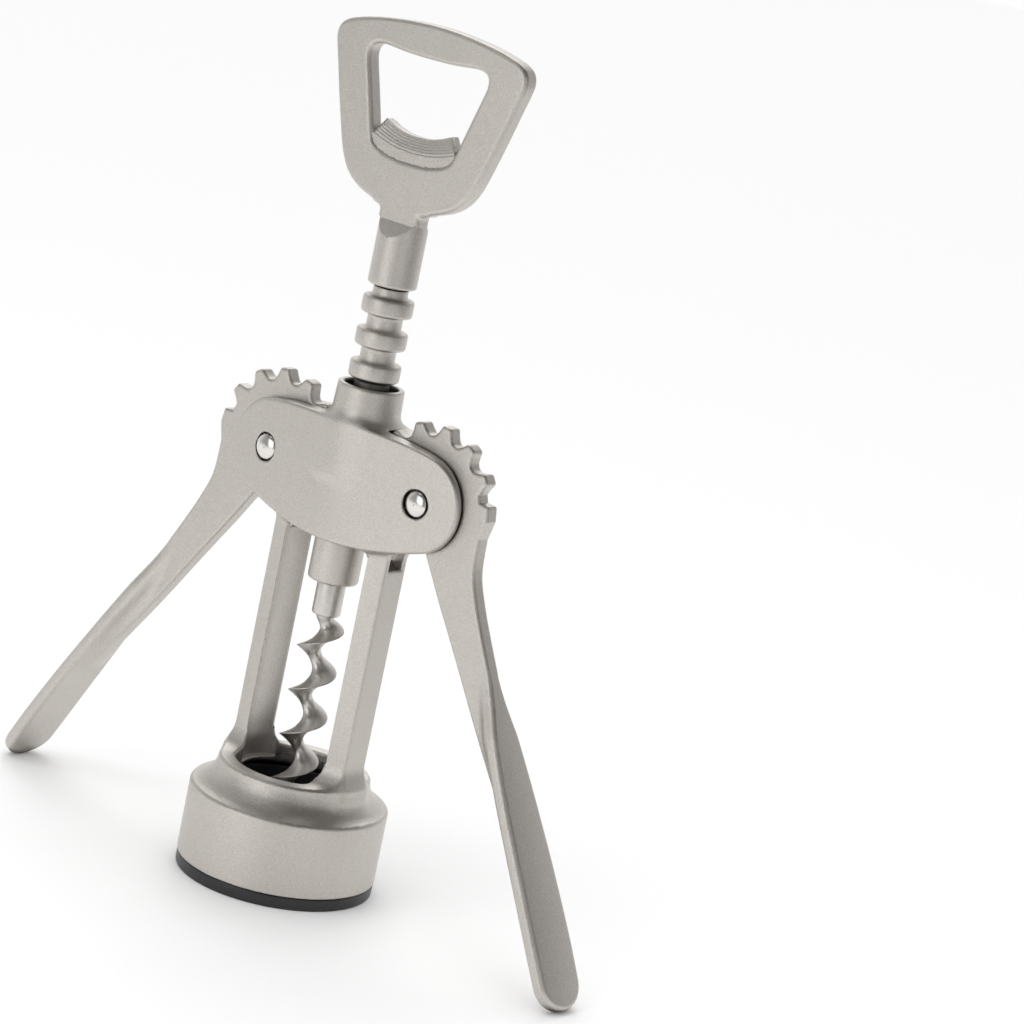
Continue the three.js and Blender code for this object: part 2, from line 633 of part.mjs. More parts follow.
// A rivet along Y with a domed head at each end
function rivet() {
  const seat = headDepthAt(PIVOT_REACH) - RIVET_RECESS_DEPTH + GAP;
  const dome = RIVET_DOME_SHARES.map(([out, up]) => (
    [out * RIVET_HEAD_RADIUS, seat + up * RIVET_HEAD_HEIGHT]
  ));
  const rear = dome.map(([radius, height]) => [radius, -height]).reverse();
  const profile = [...rear, [RIVET_RADIUS, -seat], [RIVET_RADIUS, seat], ...dome];
  return turned(profile, RIVET_SEGMENTS).rotateX(Math.PI / 2);
}

// Radius of the worm's section at an angle off its blade: a core beside the axis, and a sharp edge
function wormSectionRadius(angle, taper, runOut) {
  const offset = WORM_CORE_OFFSET * runOut;
  const core = WORM_CORE_RADIUS + (SHANK_RADIUS - SHANK_WAIST - WORM_CORE_RADIUS) * (1 - runOut);
  const round = offset * Math.cos(angle) + Math.sqrt(core ** 2 - (offset * Math.sin(angle)) ** 2);
  const blade = (WORM_RADIUS - WORM_CORE_RADIUS - WORM_CORE_OFFSET) * runOut * Math.sqrt(taper);
  const share = Math.min(1, Math.abs(angle) / radians(WORM_BLADE_ANGLE));
  return round * Math.max(taper, WORM_TIP_SHARE) + blade * (1 - share) ** WORM_BLADE_SHARPNESS;
}

// The worm: one blade wound right-handed about Z, sharp at its tip
function worm() {
  const top = SHANK_BOTTOM + GAP;
  const positions = [];
  for (let i = 0; i <= WORM_STEPS; i += 1) {
    const z = WORM_TIP + (top - WORM_TIP) * i / WORM_STEPS;
    const taper = Math.min(1, (z - WORM_TIP) / WORM_TAPER);
    const runOut = THREE.MathUtils.smoothstep(top - z, 0, WORM_RUN_OUT);
    const lead = radians(WORM_START_ANGLE) + 2 * Math.PI * (z - WORM_TIP) / WORM_PITCH;
    for (let j = 0; j < WORM_SIDES; j += 1) {
      const angle = 2 * Math.PI * j / WORM_SIDES - Math.PI;
      const radius = wormSectionRadius(angle, taper, runOut);
      positions.push(radius * Math.cos(lead + angle), radius * Math.sin(lead + angle), z);
    }
  }
  return solid(lofted(positions, WORM_SIDES));
}

// Shank, running fit through the rack, and a grooved end that the handle is cast round
function wormAndShaft() {
  const shankTop = RACK_FOOT - GAP;
  const shaftTop = STEM_FOOT + SOCKET_DEPTH - GAP;
  const groove = SHAFT_RADIUS - SHAFT_GROOVE_DEPTH;
  const grooveMiddle = STEM_FOOT + SOCKET_RIB_HEIGHT;
  const grooveHalf = SOCKET_RIB_LENGTH / 2 + GAP;
  const shaft = solid(turned([
    [0, SHANK_BOTTOM],
    [SHANK_RADIUS, SHANK_BOTTOM],
    [SHANK_RADIUS, shankTop],
    [SHAFT_RADIUS, shankTop],
    [SHAFT_RADIUS, grooveMiddle - grooveHalf],
    [groove, grooveMiddle - grooveHalf],
    [groove, grooveMiddle + grooveHalf],
    [SHAFT_RADIUS, grooveMiddle + grooveHalf],
    [SHAFT_RADIUS, shaftTop],
    [0, shaftTop],
  ], RIVET_SEGMENTS));
  return geometryOf(worm().add(shaft));
}

function handlePoint([across, up]) {
  return [across * HANDLE_HALF_WIDTH, HANDLE_PLATE_FOOT + up * HANDLE_HEIGHT];
}

// A plate parallel to the handle's, from its outline and how far it stays behind either face
function handleSlab(outline, frontSetback, rearSetback) {
  const thickness = HANDLE_THICKNESS - frontSetback - rearSetback;
  const blank = prismAlongY(shapeOf(mirroredOutline(outline)), thickness);
  return solid(blank.translate(0, (frontSetback - rearSetback) / 2 - HANDLE_SET, 0));
}

// Cap-lifting lip: a plain ledge, and above it a block whose front steps back towards its hollow edge
function lip() {
  const edge = spline(LIP_EDGE_SHARES.map(handlePoint), LIP_CURVE_STEPS);
  const lowered = (steps) => edge.map(([x, z]) => (
    [x * (1 + LIP_FLARE * steps / LIP_STEPS), z - steps * LIP_STEP_HEIGHT]
  ));
  const ledge = [...lowered(LIP_STEPS), ...LIP_LEDGE_SHARES.map(handlePoint)];
  const foot = lowered(LIP_STEPS + 1).reverse();
  let block = handleSlab(ledge, LIP_FRONT_SETBACK, LIP_REAR_SETBACK);
  for (let i = 0; i < LIP_STEPS; i += 1) {
    const setback = LIP_FRONT_SETBACK + (LIP_STEPS - i) * LIP_STEP_DEPTH;
    block = block.add(handleSlab([...lowered(i), ...foot], setback, LIP_REAR_SETBACK));
  }
  return block;
}

// Round stem whose front and back run out into the faces of the plate
function stem() {
  const front = -HANDLE_THICKNESS / 2 - HANDLE_SET;
  const back = HANDLE_THICKNESS / 2 - HANDLE_SET;
  const clear = STEM_RADIUS + CUT_OVERRUN;
  const flatsFoot = STEM_FLAT_FOOT + STEM_FLAT_RUN_OUT;
  const round = solid(turned([
    [0, STEM_FOOT],
    [STEM_RADIUS - STEM_EDGE, STEM_FOOT],
    [STEM_RADIUS, STEM_FOOT + STEM_EDGE],
    [STEM_RADIUS, STEM_TOP],
    [0, STEM_TOP],
  ], NECK_SEGMENTS));
  const side = [
    [-clear, STEM_FOOT - CUT_OVERRUN],
    [clear, STEM_FOOT - CUT_OVERRUN],
    [clear, STEM_FLAT_FOOT],
    [STEM_RADIUS, STEM_FLAT_FOOT],
    [back, flatsFoot],
    [back, STEM_TOP + CUT_OVERRUN],
    [front, STEM_TOP + CUT_OVERRUN],
    [front, flatsFoot],
    [-STEM_RADIUS, STEM_FLAT_FOOT],
    [-clear, STEM_FLAT_FOOT],
  ];
  return round.intersect(solid(prismAlongY(shapeOf(side), 2 * clear).rotateZ(Math.PI / 2)));
}

// Socket with a rib that grips the shaft's groove
function socket() {
  const radius = SHAFT_RADIUS + GAP;
  const rib = radius - SHAFT_GROOVE_DEPTH;
  const ribMiddle = STEM_FOOT + SOCKET_RIB_HEIGHT;
  const ribHalf = SOCKET_RIB_LENGTH / 2;
  return solid(turned([
    [0, STEM_FOOT - CUT_OVERRUN],
    [radius, STEM_FOOT - CUT_OVERRUN],
    [radius, ribMiddle - ribHalf],
    [rib, ribMiddle - ribHalf],
    [rib, ribMiddle + ribHalf],
    [radius, ribMiddle + ribHalf],
    [radius, STEM_FOOT + SOCKET_DEPTH],
    [0, STEM_FOOT + SOCKET_DEPTH],
  ], RIVET_SEGMENTS));
}

function handleGeometry() {
  const outline = mirroredOutline(HANDLE_OUTLINE_SHARES.map(handlePoint));
  const window = mirroredOutline(WINDOW_OUTLINE_SHARES.map(handlePoint));
  const plate = shapeOf(closedSpline(outline, HANDLE_CURVE_STEPS));
  plate.holes.push(shapeOf(closedSpline(window, WINDOW_CURVE_STEPS)));
  const blank = solid(prismAlongY(plate, HANDLE_THICKNESS, HANDLE_EDGE).translate(0, -HANDLE_SET, 0));
  return geometryOf(blank.add(lip()).add(stem()).subtract(socket()));
}

const finishes = {
  nickel: { color: COLOURS.nickel, metalness: 0.9, roughness: 0.38 },
  bright: { color: COLOURS.bright, metalness: 1, roughness: 0.25 },
  steel: { color: COLOURS.steel, metalness: 1, roughness: 0.3 },
  black: { color: COLOURS.black, metalness: 0, roughness: 0.5 },
};

function piece(name, geometry, finish) {
  const mesh = new THREE.Mesh(geometry, new THREE.MeshStandardMaterial(finishes[finish]));
  mesh.name = name;
  return mesh;
}

const corkscrew = new THREE.Group();
corkscrew.add(piece('body_casting', bodyCasting(), 'nickel'));
corkscrew.add(piece('bottle_insert', bottleInsert(), 'black'));
corkscrew.add(piece('rack_sleeve', rackSleeve(), 'nickel'));

for (const [name, side] of [['right', 1], ['left', -1]]) {
  const pivot = new THREE.Group();
  pivot.position.set(side * PIVOT_REACH, 0, PIVOT_HEIGHT);
  const lever = piece(`${name}_lever`, leverGeometry(), 'nickel');
  lever.rotation.z = side > 0 ? 0 : Math.PI;
  pivot.add(lever, piece(`${name}_pivot_rivet`, rivet(), 'bright'));
  corkscrew.add(pivot);
}

const spindle = new THREE.Group();
spindle.rotation.z = radians(HANDLE_YAW);
spindle.add(piece('worm_and_shaft', wormAndShaft(), 'steel'));
spindle.add(piece('opener_handle', handleGeometry(), 'nickel'));
corkscrew.add(spindle);

export default corkscrew;
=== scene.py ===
# Twin-lever corkscrew on a pale floor. Sizes are millimetres, +Z up along the spindle,
# +X towards the right lever. Every cast piece is the skin of a distance field.
import math

import bpy
import numpy as np
from mathutils import Matrix, Vector


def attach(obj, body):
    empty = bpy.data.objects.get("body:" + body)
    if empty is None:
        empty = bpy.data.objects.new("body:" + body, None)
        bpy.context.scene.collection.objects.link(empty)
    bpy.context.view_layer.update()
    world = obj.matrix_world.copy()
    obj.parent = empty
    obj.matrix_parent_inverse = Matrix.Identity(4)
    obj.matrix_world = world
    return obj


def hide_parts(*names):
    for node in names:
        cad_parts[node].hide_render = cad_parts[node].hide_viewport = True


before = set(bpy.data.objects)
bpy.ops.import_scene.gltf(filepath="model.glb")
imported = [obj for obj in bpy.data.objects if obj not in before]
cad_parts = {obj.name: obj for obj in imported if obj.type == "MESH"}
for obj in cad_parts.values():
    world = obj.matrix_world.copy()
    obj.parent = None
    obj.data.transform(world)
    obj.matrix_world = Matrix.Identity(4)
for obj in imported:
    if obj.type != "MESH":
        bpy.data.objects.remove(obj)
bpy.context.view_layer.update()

MM = 0.001
GAP = 0.3
QUARTER_TURN = 90
# A turned profile stops this short of the axis
AXIS_HOLE = 0.01
# Points nearer to the axis than this lie on it
AXIS_TOLERANCE = 1e-6
# Keeps a division clear of zero
TINY = 1e-9

# Camera
CAMERA_AZIMUTH = 35.63
CAMERA_ELEVATION = 12.5
CAMERA_ROLL = 11.98
CAMERA_DISTANCE = 747.5
CAMERA_LENS = 122.57
CAMERA_SENSOR = 36
CAMERA_CLIP_START = 10
AIM_RIGHT = 34.84
AIM_HEIGHT = 91.04

# Bell
BELL_RADIUS = 22
BELL_WALL = 2.4
BELL_FOOT = 2.85
BELL_CYLINDER_TOP = 18.9
BELL_STEP = 0.45
BELL_COVE_BOW_INSET = 4.8
BELL_COVE_BOW_RISE = 1.8
BELL_COVE_STEPS = 14
BELL_TOP = 25.8
BELL_TOP_EDGE = 0.5
BELL_EDGE = 0.35
BELL_SHOULDER_INSET = 5.2
BELL_RIM_WIDTH = 3.6
BELL_ROOF_THICKNESS = 2.2
BELL_CAVITY_SHOULDER = 16.5
BELL_CAVITY_TOP_INSET = 6.2
BELL_CAVITY_WAIST = 22.3
BELL_TOP_RADIUS = BELL_RADIUS - BELL_SHOULDER_INSET
BELL_HOLE_RADIUS = BELL_TOP_RADIUS - BELL_RIM_WIDTH
BELL_CAVITY_TOP_RADIUS = BELL_RADIUS - BELL_CAVITY_TOP_INSET
BELL_ROOF_UNDERSIDE = BELL_TOP - BELL_ROOF_THICKNESS

# Bottle insert: foot ring and liner
RING_STEP = 0.15
RING_EDGE = 0.5
LINER_WALL = 3.2
LINER_TOP_WALL = 0.8
LINER_TOP_SETBACK = 2.4
LINER_TOP = BELL_CAVITY_WAIST - LINER_TOP_SETBACK

# Head and neck
PIVOT_REACH = 21.5
PIVOT_HEIGHT = 92
HEAD_END_RADIUS = 10.8
HEAD_END_SETBACK = 0.4
HEAD_END_ANGLES = (-62, 80)
HEAD_END_STEPS = 22
HEAD_RISE = 12.1
HEAD_DROP = 14.2
HEAD_BOW_STEPS = 12
HEAD_TOP_BOW_SHARE = 0.75
HEAD_CENTRE_DEPTH = 7.6
HEAD_TAPER_SHARE = 0.14
HEAD_NOSE = 4
HEAD_EDGE = 0.7
CAST_EDGE = 0.5
NECK_RADIUS = 7.2
NECK_BASE_RADIUS = 7.5
NECK_HEIGHT = 7.8
NECK_FILLET = 2.8
HEAD_TOP = PIVOT_HEIGHT + HEAD_RISE
HEAD_BOTTOM = PIVOT_HEIGHT - HEAD_DROP
NECK_TOP = HEAD_TOP + NECK_HEIGHT

# Legs
LEG_INNER_SETBACK = 0.6
LEG_INNER_HALF_WIDTH = 4.7
LEG_GROOVE_RADIUS = 8.5
LEG_ARC_STEPS = 12
LEG_OUTER_SETBACK = 0.55
LEG_OUTER_HALF_WIDTH = 3.4
LEG_EDGE = 0.55
LEG_FOOT_FILLET = 5.5
LEG_HEAD_FILLET = 2.2
LEG_TOP_EMBED = 4.2
LEG_INNER_REACH = BELL_HOLE_RADIUS - LEG_INNER_SETBACK
LEG_OUTER_REACH = BELL_TOP_RADIUS - LEG_OUTER_SETBACK
LEG_TOP = HEAD_BOTTOM + LEG_TOP_EMBED

# Rack
RACK_RADIUS = 5.55
RACK_PITCH_RADIUS = 5.547
RACK_GROOVE_RADIUS = 3.8
RACK_PITCH = 7.1
RACK_RING_HEIGHT = 3.8
RACK_RING_EDGE = 0.8
RACK_GROOVE_COUNT = 8
RACK_STAND = 20.95
RACK_PLAIN_END = 15.05
RACK_TOP_GROOVE = NECK_TOP + RACK_STAND
RACK_FOOT = RACK_TOP_GROOVE - (RACK_GROOVE_COUNT - 1) * RACK_PITCH - RACK_PLAIN_END
BORE_RADIUS = RACK_RADIUS + GAP

# Gear sectors
GEAR_TIP_CLEARANCE = 0.4
GEAR_ROOT_DEPTH = 1.353
TOOTH_ROOT_WIDTH = 5
TOOTH_PITCH_WIDTH = 3.3
TOOTH_TIP_WIDTH = 2.4
TOOTH_ROUND = 1
TEETH_OUTSIDE_MESH = 6
TEETH_INSIDE_MESH = 1
HUB_RADIUS = 9.6
HUB_STEPS = 10
SHOULDER_RADIUS = 16.9
SHOULDER_ANGLES = (76, 87)
SHOULDER_ROUND = 0.5
SLOT_RADIUS = PIVOT_REACH - RACK_GROOVE_RADIUS
GEAR_RADIUS = PIVOT_REACH - RACK_PITCH_RADIUS
GEAR_TIP_RADIUS = SLOT_RADIUS - GEAR_TIP_CLEARANCE
GEAR_ROOT_RADIUS = GEAR_RADIUS - GEAR_ROOT_DEPTH
TOOTH_ANGLE = math.degrees(RACK_PITCH / GEAR_RADIUS)

# Lever arms
LEVER_THICKNESS = 3.6
LEVER_SLOT_CLEARANCE = 0.3
LEVER_SPREAD_ANGLE = 30
LEVER_EDGE = 0.7
ARM_INNER_OFFSET = -3
ARM_OUTER_OFFSET = 7.6
ARM_STEPS = 40
# From here down the arm, the face of the paddle trims the web
ARM_CLIP_START = 17
# Over this stretch of the arm, its outer edge moves in under the paddle
WEB_RAMP = (39, 50)
PADDLE_THICKNESS = 3.1
PADDLE_START = 38
PADDLE_HALF_WIDTH = 6.6
PADDLE_EDGE = 1.1
PADDLE_TIP_STEPS = 12
PADDLE_STEPS = 40
PADDLE_CROWN = 0.35
PADDLE_FILLET = 4
PADDLE_FILLET_RUN = 14
PADDLE_FILLET_LEAST_SHARE = 0.1

# Rivets
RIVET_RADIUS = 2.2
RIVET_HEAD_RADIUS = 2.75
RIVET_HEAD_HEIGHT = 1
RIVET_DOME_HOLE = 0.02
RIVET_DOME_FLAT_SHARE = 0.7
RIVET_DOME_RIM_SHARE = 0.3
RIVET_DOME_STEPS = 12
RIVET_RECESS_RADIUS = 3.15
RIVET_RECESS_DEPTH = 0.9

# Worm and shaft
SHAFT_RADIUS = 2.6
SHANK_RADIUS = 3.15
SHANK_LENGTH = 7.7
SHANK_EDGE = 0.5
SHANK_WAIST = 1.1
WORM_RADIUS = 4.9
WORM_CORE_RADIUS = 1.75
WORM_CORE_OFFSET = 1.2
WORM_PITCH = 10.2
WORM_LENGTH = 50.4
WORM_TAPER = 9
WORM_TIP_SHARE = 0.06
WORM_RUN_OUT = 4
WORM_BLADE_ANGLE = 62
WORM_BLADE_SHARPNESS = 1.7
WORM_START_ANGLE = 158
WORM_STEPS = 420
WORM_SIDES = 56
SHANK_BOTTOM = RACK_FOOT - SHANK_LENGTH
WORM_TIP = SHANK_BOTTOM - WORM_LENGTH

# Handle
HANDLE_YAW = 3
HANDLE_TOP = 189.4
HANDLE_HEIGHT = 39.7
HANDLE_HALF_WIDTH = 25.1
HANDLE_THICKNESS = 4.3
HANDLE_SET = 0.8
HANDLE_EDGE = 1
HANDLE_CURVE_STEPS = 8
LIP_FRONT_SETBACK = 0.5
LIP_REAR_SETBACK = 0.6
LIP_STEPS = 6
LIP_STEP_HEIGHT = 0.56
LIP_STEP_DEPTH = 0.16
LIP_FLARE_SHARE = 0.25
LIP_SINK_STEPS = 1
LIP_EDGE = 0.2
LIP_STATIONS = 24
LIP_CORNER_STEPS = 2
STEM_RADIUS = 5.3
STEM_SEAT = 0.8
STEM_ROUND_LENGTH = 10.65
STEM_EMBED = 6.3
STEM_EDGE = 0.6
STEM_FLAT_RUN_OUT = 3.3
STEM_FILLET = 1.2
SOCKET_DEPTH = 11.5
STEM_FOOT = RACK_TOP_GROOVE + STEM_SEAT
STEM_FLAT_FOOT = STEM_FOOT + STEM_ROUND_LENGTH
HANDLE_PLATE_FOOT = HANDLE_TOP - HANDLE_HEIGHT
STEM_TOP = HANDLE_PLATE_FOOT + STEM_EMBED

# Outline of half the handle plate, as shares of its half width and of its height
HANDLE_OUTLINE_SHARES = [
    (0.21, 0.005), (0.33, 0.03), (0.45, 0.057), (0.55, 0.093), (0.63, 0.141), (0.69, 0.201),
    (0.74, 0.276), (0.8, 0.39), (0.87, 0.53), (0.94, 0.68), (0.985, 0.775), (1, 0.825),
    (0.985, 0.872), (0.93, 0.908), (0.82, 0.936), (0.6, 0.967), (0.3, 0.991), (0, 1),
]
# Outline of half the window, in the same shares, from the middle of its sill up
WINDOW_OUTLINE_SHARES = [
    (0, 0.262), (0.12, 0.264), (0.24, 0.275), (0.34, 0.294), (0.41, 0.326), (0.447, 0.39),
    (0.5, 0.505), (0.55, 0.61), (0.603, 0.72), (0.618, 0.77), (0.6, 0.812), (0.54, 0.833),
    (0.45, 0.834), (0.28, 0.824), (0.14, 0.82), (0, 0.819),
]
# Hollow upper edge of half the cap-lifting lip, from its middle out to the horn
LIP_EDGE_SHARES = [(0, 0.405), (0.12, 0.41), (0.24, 0.43), (0.345, 0.457)]
# Top of the plain ledge between the horn and the window's wall, and its foot inside the plate
LIP_LEDGE_SHARES = [(0.47, 0.398), (0.54, 0.398), (0.54, 0.24), (0, 0.24)]
# Outer and inner edge of the arm past the hub, as shares of its length and of the outer offset
ARM_OUTER_SHARES = [
    (0.098, 1.59), (0.16, 1.15), (0.22, 1.02), (0.284, 0.975), (0.384, 0.955), (0.484, 0.965),
    (0.603, 1), (0.73, 1.045), (0.868, 1.065), (1, 1.04),
]
ARM_INNER_SHARES = [(0.7, 0.56), (0.58, 0.28), (0.466, 0.07), (0.31, -0.12), (0.19, -0.28)]
# Half width of the paddle along its length, as shares of both
PADDLE_WIDTH_SHARES = [
    (0, 0.25), (0.045, 0.28), (0.1, 0.37), (0.15, 0.5), (0.2, 0.62), (0.3, 0.76), (0.4, 0.85),
    (0.55, 0.93), (0.7, 0.98), (0.82, 1), (0.92, 0.985),
]

# Skins: spacing of the grid that each is drawn on
COARSENESS = 1
BODY_CELL = 0.42 * COARSENESS
LEVER_CELL = 0.36 * COARSENESS
HANDLE_CELL = 0.3 * COARSENESS
SKIN_MARGIN = 1.5
SKIN_BLOCK = 4
SKIN_SETTLE_ROUNDS = 2
SLOPE_STEP = 0.01
# Keeps a vertex from a long move where a field is flat
LEAST_SQUARED_SLOPE = 0.25
LATHE_SEGMENTS = 144
SMALL_LATHE_SEGMENTS = LATHE_SEGMENTS // 2
CORNER_STEPS = 4
CORNER_REACH_SHARE = 0.45

# Corners and edges of one cell of the grid
CELL_CORNERS = np.array([(i, j, k) for i in (0, 1) for j in (0, 1) for k in (0, 1)])
CELL_EDGES = [
    (a, b) for a in range(len(CELL_CORNERS)) for b in range(a + 1, len(CELL_CORNERS))
    if np.abs(CELL_CORNERS[a] - CELL_CORNERS[b]).sum() == 1
]


# Curves and outlines

def polar(radius, angle):
    """A point of the lever's plane: angle in degrees clockwise from +Z towards the outside."""
    turn = math.radians(angle)
    return radius * math.sin(turn), radius * math.cos(turn)


def arc(centre, radius, start, end, steps):
    """Points of an arc, angles in degrees from the first axis towards the second."""
    turns = np.radians(np.linspace(start, end, steps + 1))
    return [(centre[0] + radius * math.cos(t), centre[1] + radius * math.sin(t)) for t in turns]


def quadratic(start, control, end, steps):
    """Points of a quadratic Bezier curve."""
    share = np.linspace(0, 1, steps + 1)[:, None]
    start, control, end = np.array(start), np.array(control), np.array(end)
    points = (1 - share) ** 2 * start + 2 * share * (1 - share) * control + share ** 2 * end
    return [tuple(point) for point in points]


def spline(points, steps, closed=False):
    """A smooth curve through points, as a Catmull-Rom spline."""
    ends = (points[-1], points[0], points[1]) if closed else (points[0], points[-1])
    knots = np.array([ends[0], *points, *ends[1:]], float)
    spans = len(knots) - 3
    curve = []
    for step in range(steps + (not closed)):
        place = min(step * spans / steps, spans - TINY)
        first = int(place)
        t = place - first
        a, b, c, d = knots[first:first + 4]
        curve.append(0.5 * (2 * b + (c - a) * t + (2 * a - 5 * b + 4 * c - d) * t * t
                            + (3 * b - a - 3 * c + d) * t ** 3))
    return [tuple(point) for point in curve]


def mirrored(half):
    """A half outline that starts or ends on the axis, closed by its mirror image."""
    return list(half) + [(-u, v) for u, v in reversed(half) if u > AXIS_TOLERANCE]


# Distance fields: negative inside

def polygon_field(u, v, outline):
    """Distance to a closed outline in its own plane."""
    nearest = np.full(u.shape, np.inf)
    inside = np.zeros(u.shape, bool)
    corners = np.array(outline, float)
    for (au, av), (bu, bv) in zip(corners, np.roll(corners, -1, axis=0)):
        eu, ev = bu - au, bv - av
        share = np.clip(((u - au) * eu + (v - av) * ev) / max(eu * eu + ev * ev, TINY), 0, 1)
        nearest = np.minimum(nearest, (u - au - share * eu) ** 2 + (v - av - share * ev) ** 2)
        crosses = (av > v) != (bv > v)
        inside ^= crosses & (u < au + (v - av) * eu / (ev or 1))
    return np.where(inside, -1, 1) * np.sqrt(nearest)


def plate_field(flat, across, half, edge):
    """A plate from the field of its outline, with rounded rims."""
    a = flat + edge
    b = np.abs(across) - half + edge
    return np.minimum(np.maximum(a, b), 0) + np.hypot(np.maximum(a, 0), np.maximum(b, 0)) - edge


def joined(a, b, fillet):
    """Two fields as one, with a fillet where they meet."""
    share = np.clip(0.5 + 0.5 * (b - a) / fillet, 0, 1)
    return b + (a - b) * share - fillet * share * (1 - share)


def cut(a, b, edge=CAST_EDGE):
    """The first field without the second, with a softened edge."""
    return -joined(-a, b, edge)


def slope_of(field, points, values):
    """Gradient of a field at points where its values are known."""
    steps = SLOPE_STEP * np.eye(3)
    return np.stack([(field(points + step) - values) / SLOPE_STEP for step in steps], axis=1)


def sample(field, low, cell, counts):
    """Values on a grid, exact only in the blocks near the skin."""
    blocks = [-(-count // SKIN_BLOCK) for count in counts]
    middles = [low[k] + cell * SKIN_BLOCK * (np.arange(blocks[k]) + 0.5) for k in range(3)]
    grid = np.stack(np.meshgrid(*middles, indexing="ij"), axis=-1).reshape(-1, 3)
    values = field(grid).reshape(blocks)
    for axis in range(3):
        values = np.repeat(values, SKIN_BLOCK, axis=axis)
    values = values[:counts[0], :counts[1], :counts[2]]
    near = np.argwhere(np.abs(values) < cell * SKIN_BLOCK)
    values[tuple(near.T)] = field(low + cell * near)
    return values


def crossed_cells(inside):
    """Low corners of the cells that the skin passes through."""
    x, y, z = np.array(inside.shape) - 1
    full = sum(inside[i:x + i, j:y + j, k:z + k].astype(np.int8) for i, j, k in CELL_CORNERS)
    return np.argwhere((full > 0) & (full < len(CELL_CORNERS)))


def cell_points(values, cells):
    """For each cell, the middle of the places where the skin crosses its edges."""
    at = cells[:, None, :] + CELL_CORNERS
    held = values[at[..., 0], at[..., 1], at[..., 2]]
    total = np.zeros((len(cells), 3))
    crossings = np.zeros((len(cells), 1))
    for a, b in CELL_EDGES:
        crossed = (held[:, a] < 0) != (held[:, b] < 0)
        share = held[:, a] / np.where(crossed, held[:, a] - held[:, b], 1)
        place = CELL_CORNERS[a] + share[:, None] * (CELL_CORNERS[b] - CELL_CORNERS[a])
        total += np.where(crossed[:, None], place, 0)
        crossings += crossed[:, None]
    return cells + total / crossings


def cell_quads(inside, numbers):
    """One outward quad round each grid line's step that the skin crosses."""
    quads = []
    for axis in range(3):
        u, v = (axis + 1) % 3, (axis + 2) % 3
        places = np.argwhere(inside != np.roll(inside, -1, axis=axis))
        within = (places[:, axis] < inside.shape[axis] - 1) & (places[:, u] > 0) & (places[:, v] > 0)
        places = places[within]
        sides = []
        for du, dv in ((1, 1), (0, 1), (0, 0), (1, 0)):
            corner = places.copy()
            corner[:, u] -= du
            corner[:, v] -= dv
            sides.append(numbers[tuple(corner.T)])
        quad = np.stack(sides, axis=1)
        leaving = inside[tuple(places.T)]
        quads.append(np.where(leaving[:, None], quad, quad[:, ::-1]))
    return np.concatenate(quads)


def skin(field, low, high, cell):
    """The zero surface of a field as vertices, quads and normals."""
    low = np.array(low, float) - SKIN_MARGIN
    counts = np.ceil((np.array(high) + SKIN_MARGIN - low) / cell).astype(int) + 1
    values = sample(field, low, cell, counts)
    inside = values < 0
    cells = crossed_cells(inside)
    numbers = np.full(counts, -1)
    numbers[tuple(cells.T)] = np.arange(len(cells))
    points = low + cell * cell_points(values, cells)
    for _ in range(SKIN_SETTLE_ROUNDS):
        values = field(points)
        slope = slope_of(field, points, values)
        steepness = np.maximum((slope ** 2).sum(axis=1), LEAST_SQUARED_SLOPE)
        move = np.clip(values / steepness, -cell / 2, cell / 2)
        points = points - slope * move[:, None]
    normals = slope_of(field, points, field(points))
    normals /= np.maximum(np.linalg.norm(normals, axis=1), TINY)[:, None]
    return points, cell_quads(inside, numbers), normals


# Meshes

def add_mesh(name, points, faces, normals=None):
    """A mesh object from points in millimetres."""
    mesh = bpy.data.meshes.new(name)
    mesh.from_pydata((np.asarray(points) * MM).tolist(), [], np.asarray(faces, dtype=object).tolist())
    mesh.shade_smooth()
    if normals is not None:
        mesh.normals_split_custom_set_from_vertices(normals.tolist())
    piece = bpy.data.objects.new(name, mesh)
    bpy.context.scene.collection.objects.link(piece)
    return piece


def dress(piece, material, slot, body, *nodes):
    """Finish a piece and let it stand for its CAD nodes on their body."""
    piece.data.materials.append(material)
    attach(piece, body)
    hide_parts(*nodes)


def softened(profile, edge, steps=CORNER_STEPS, closed=True):
    """A profile with every corner rounded."""
    corners = np.array(profile, float)
    befores, afters = np.roll(corners, 1, axis=0), np.roll(corners, -1, axis=0)
    if not closed:
        befores[0], afters[-1] = corners[0], corners[-1]
    out = []
    for before, corner, after in zip(befores, corners, afters):
        towards = [side - corner for side in (before, after)]
        lengths = [max(np.linalg.norm(side), TINY) for side in towards]
        reach = min(edge, CORNER_REACH_SHARE * min(lengths))
        start, end = (corner + side * reach / size for side, size in zip(towards, lengths))
        out.extend(quadratic(start, corner, end, steps))
    return out


def lathe(profile, segments=LATHE_SEGMENTS):
    """Points and quads of a closed profile of (radius, height) turned about Z."""
    turns = np.linspace(0, 2 * math.pi, segments, endpoint=False)
    radii, heights = np.array(profile, float).T
    x = np.outer(np.cos(turns), radii)
    y = np.outer(np.sin(turns), radii)
    z = np.tile(heights, (segments, 1))
    points = np.stack([x, y, z], axis=-1).reshape(-1, 3)
    count = len(profile)
    faces = []
    for i in range(segments):
        near, far = i * count, (i + 1) % segments * count
        for j in range(count):
            following = (j + 1) % count
            faces.append((near + j, far + j, far + following, near + following))
    return points, faces


def yawed(points):
    """Points turned about Z as far as the handle is in the photo."""
    turn = math.radians(HANDLE_YAW)
    x, y, z = np.asarray(points).T
    turned_x = x * math.cos(turn) - y * math.sin(turn)
    turned_y = x * math.sin(turn) + y * math.cos(turn)
    return np.stack([turned_x, turned_y, z], axis=1)


# Body casting

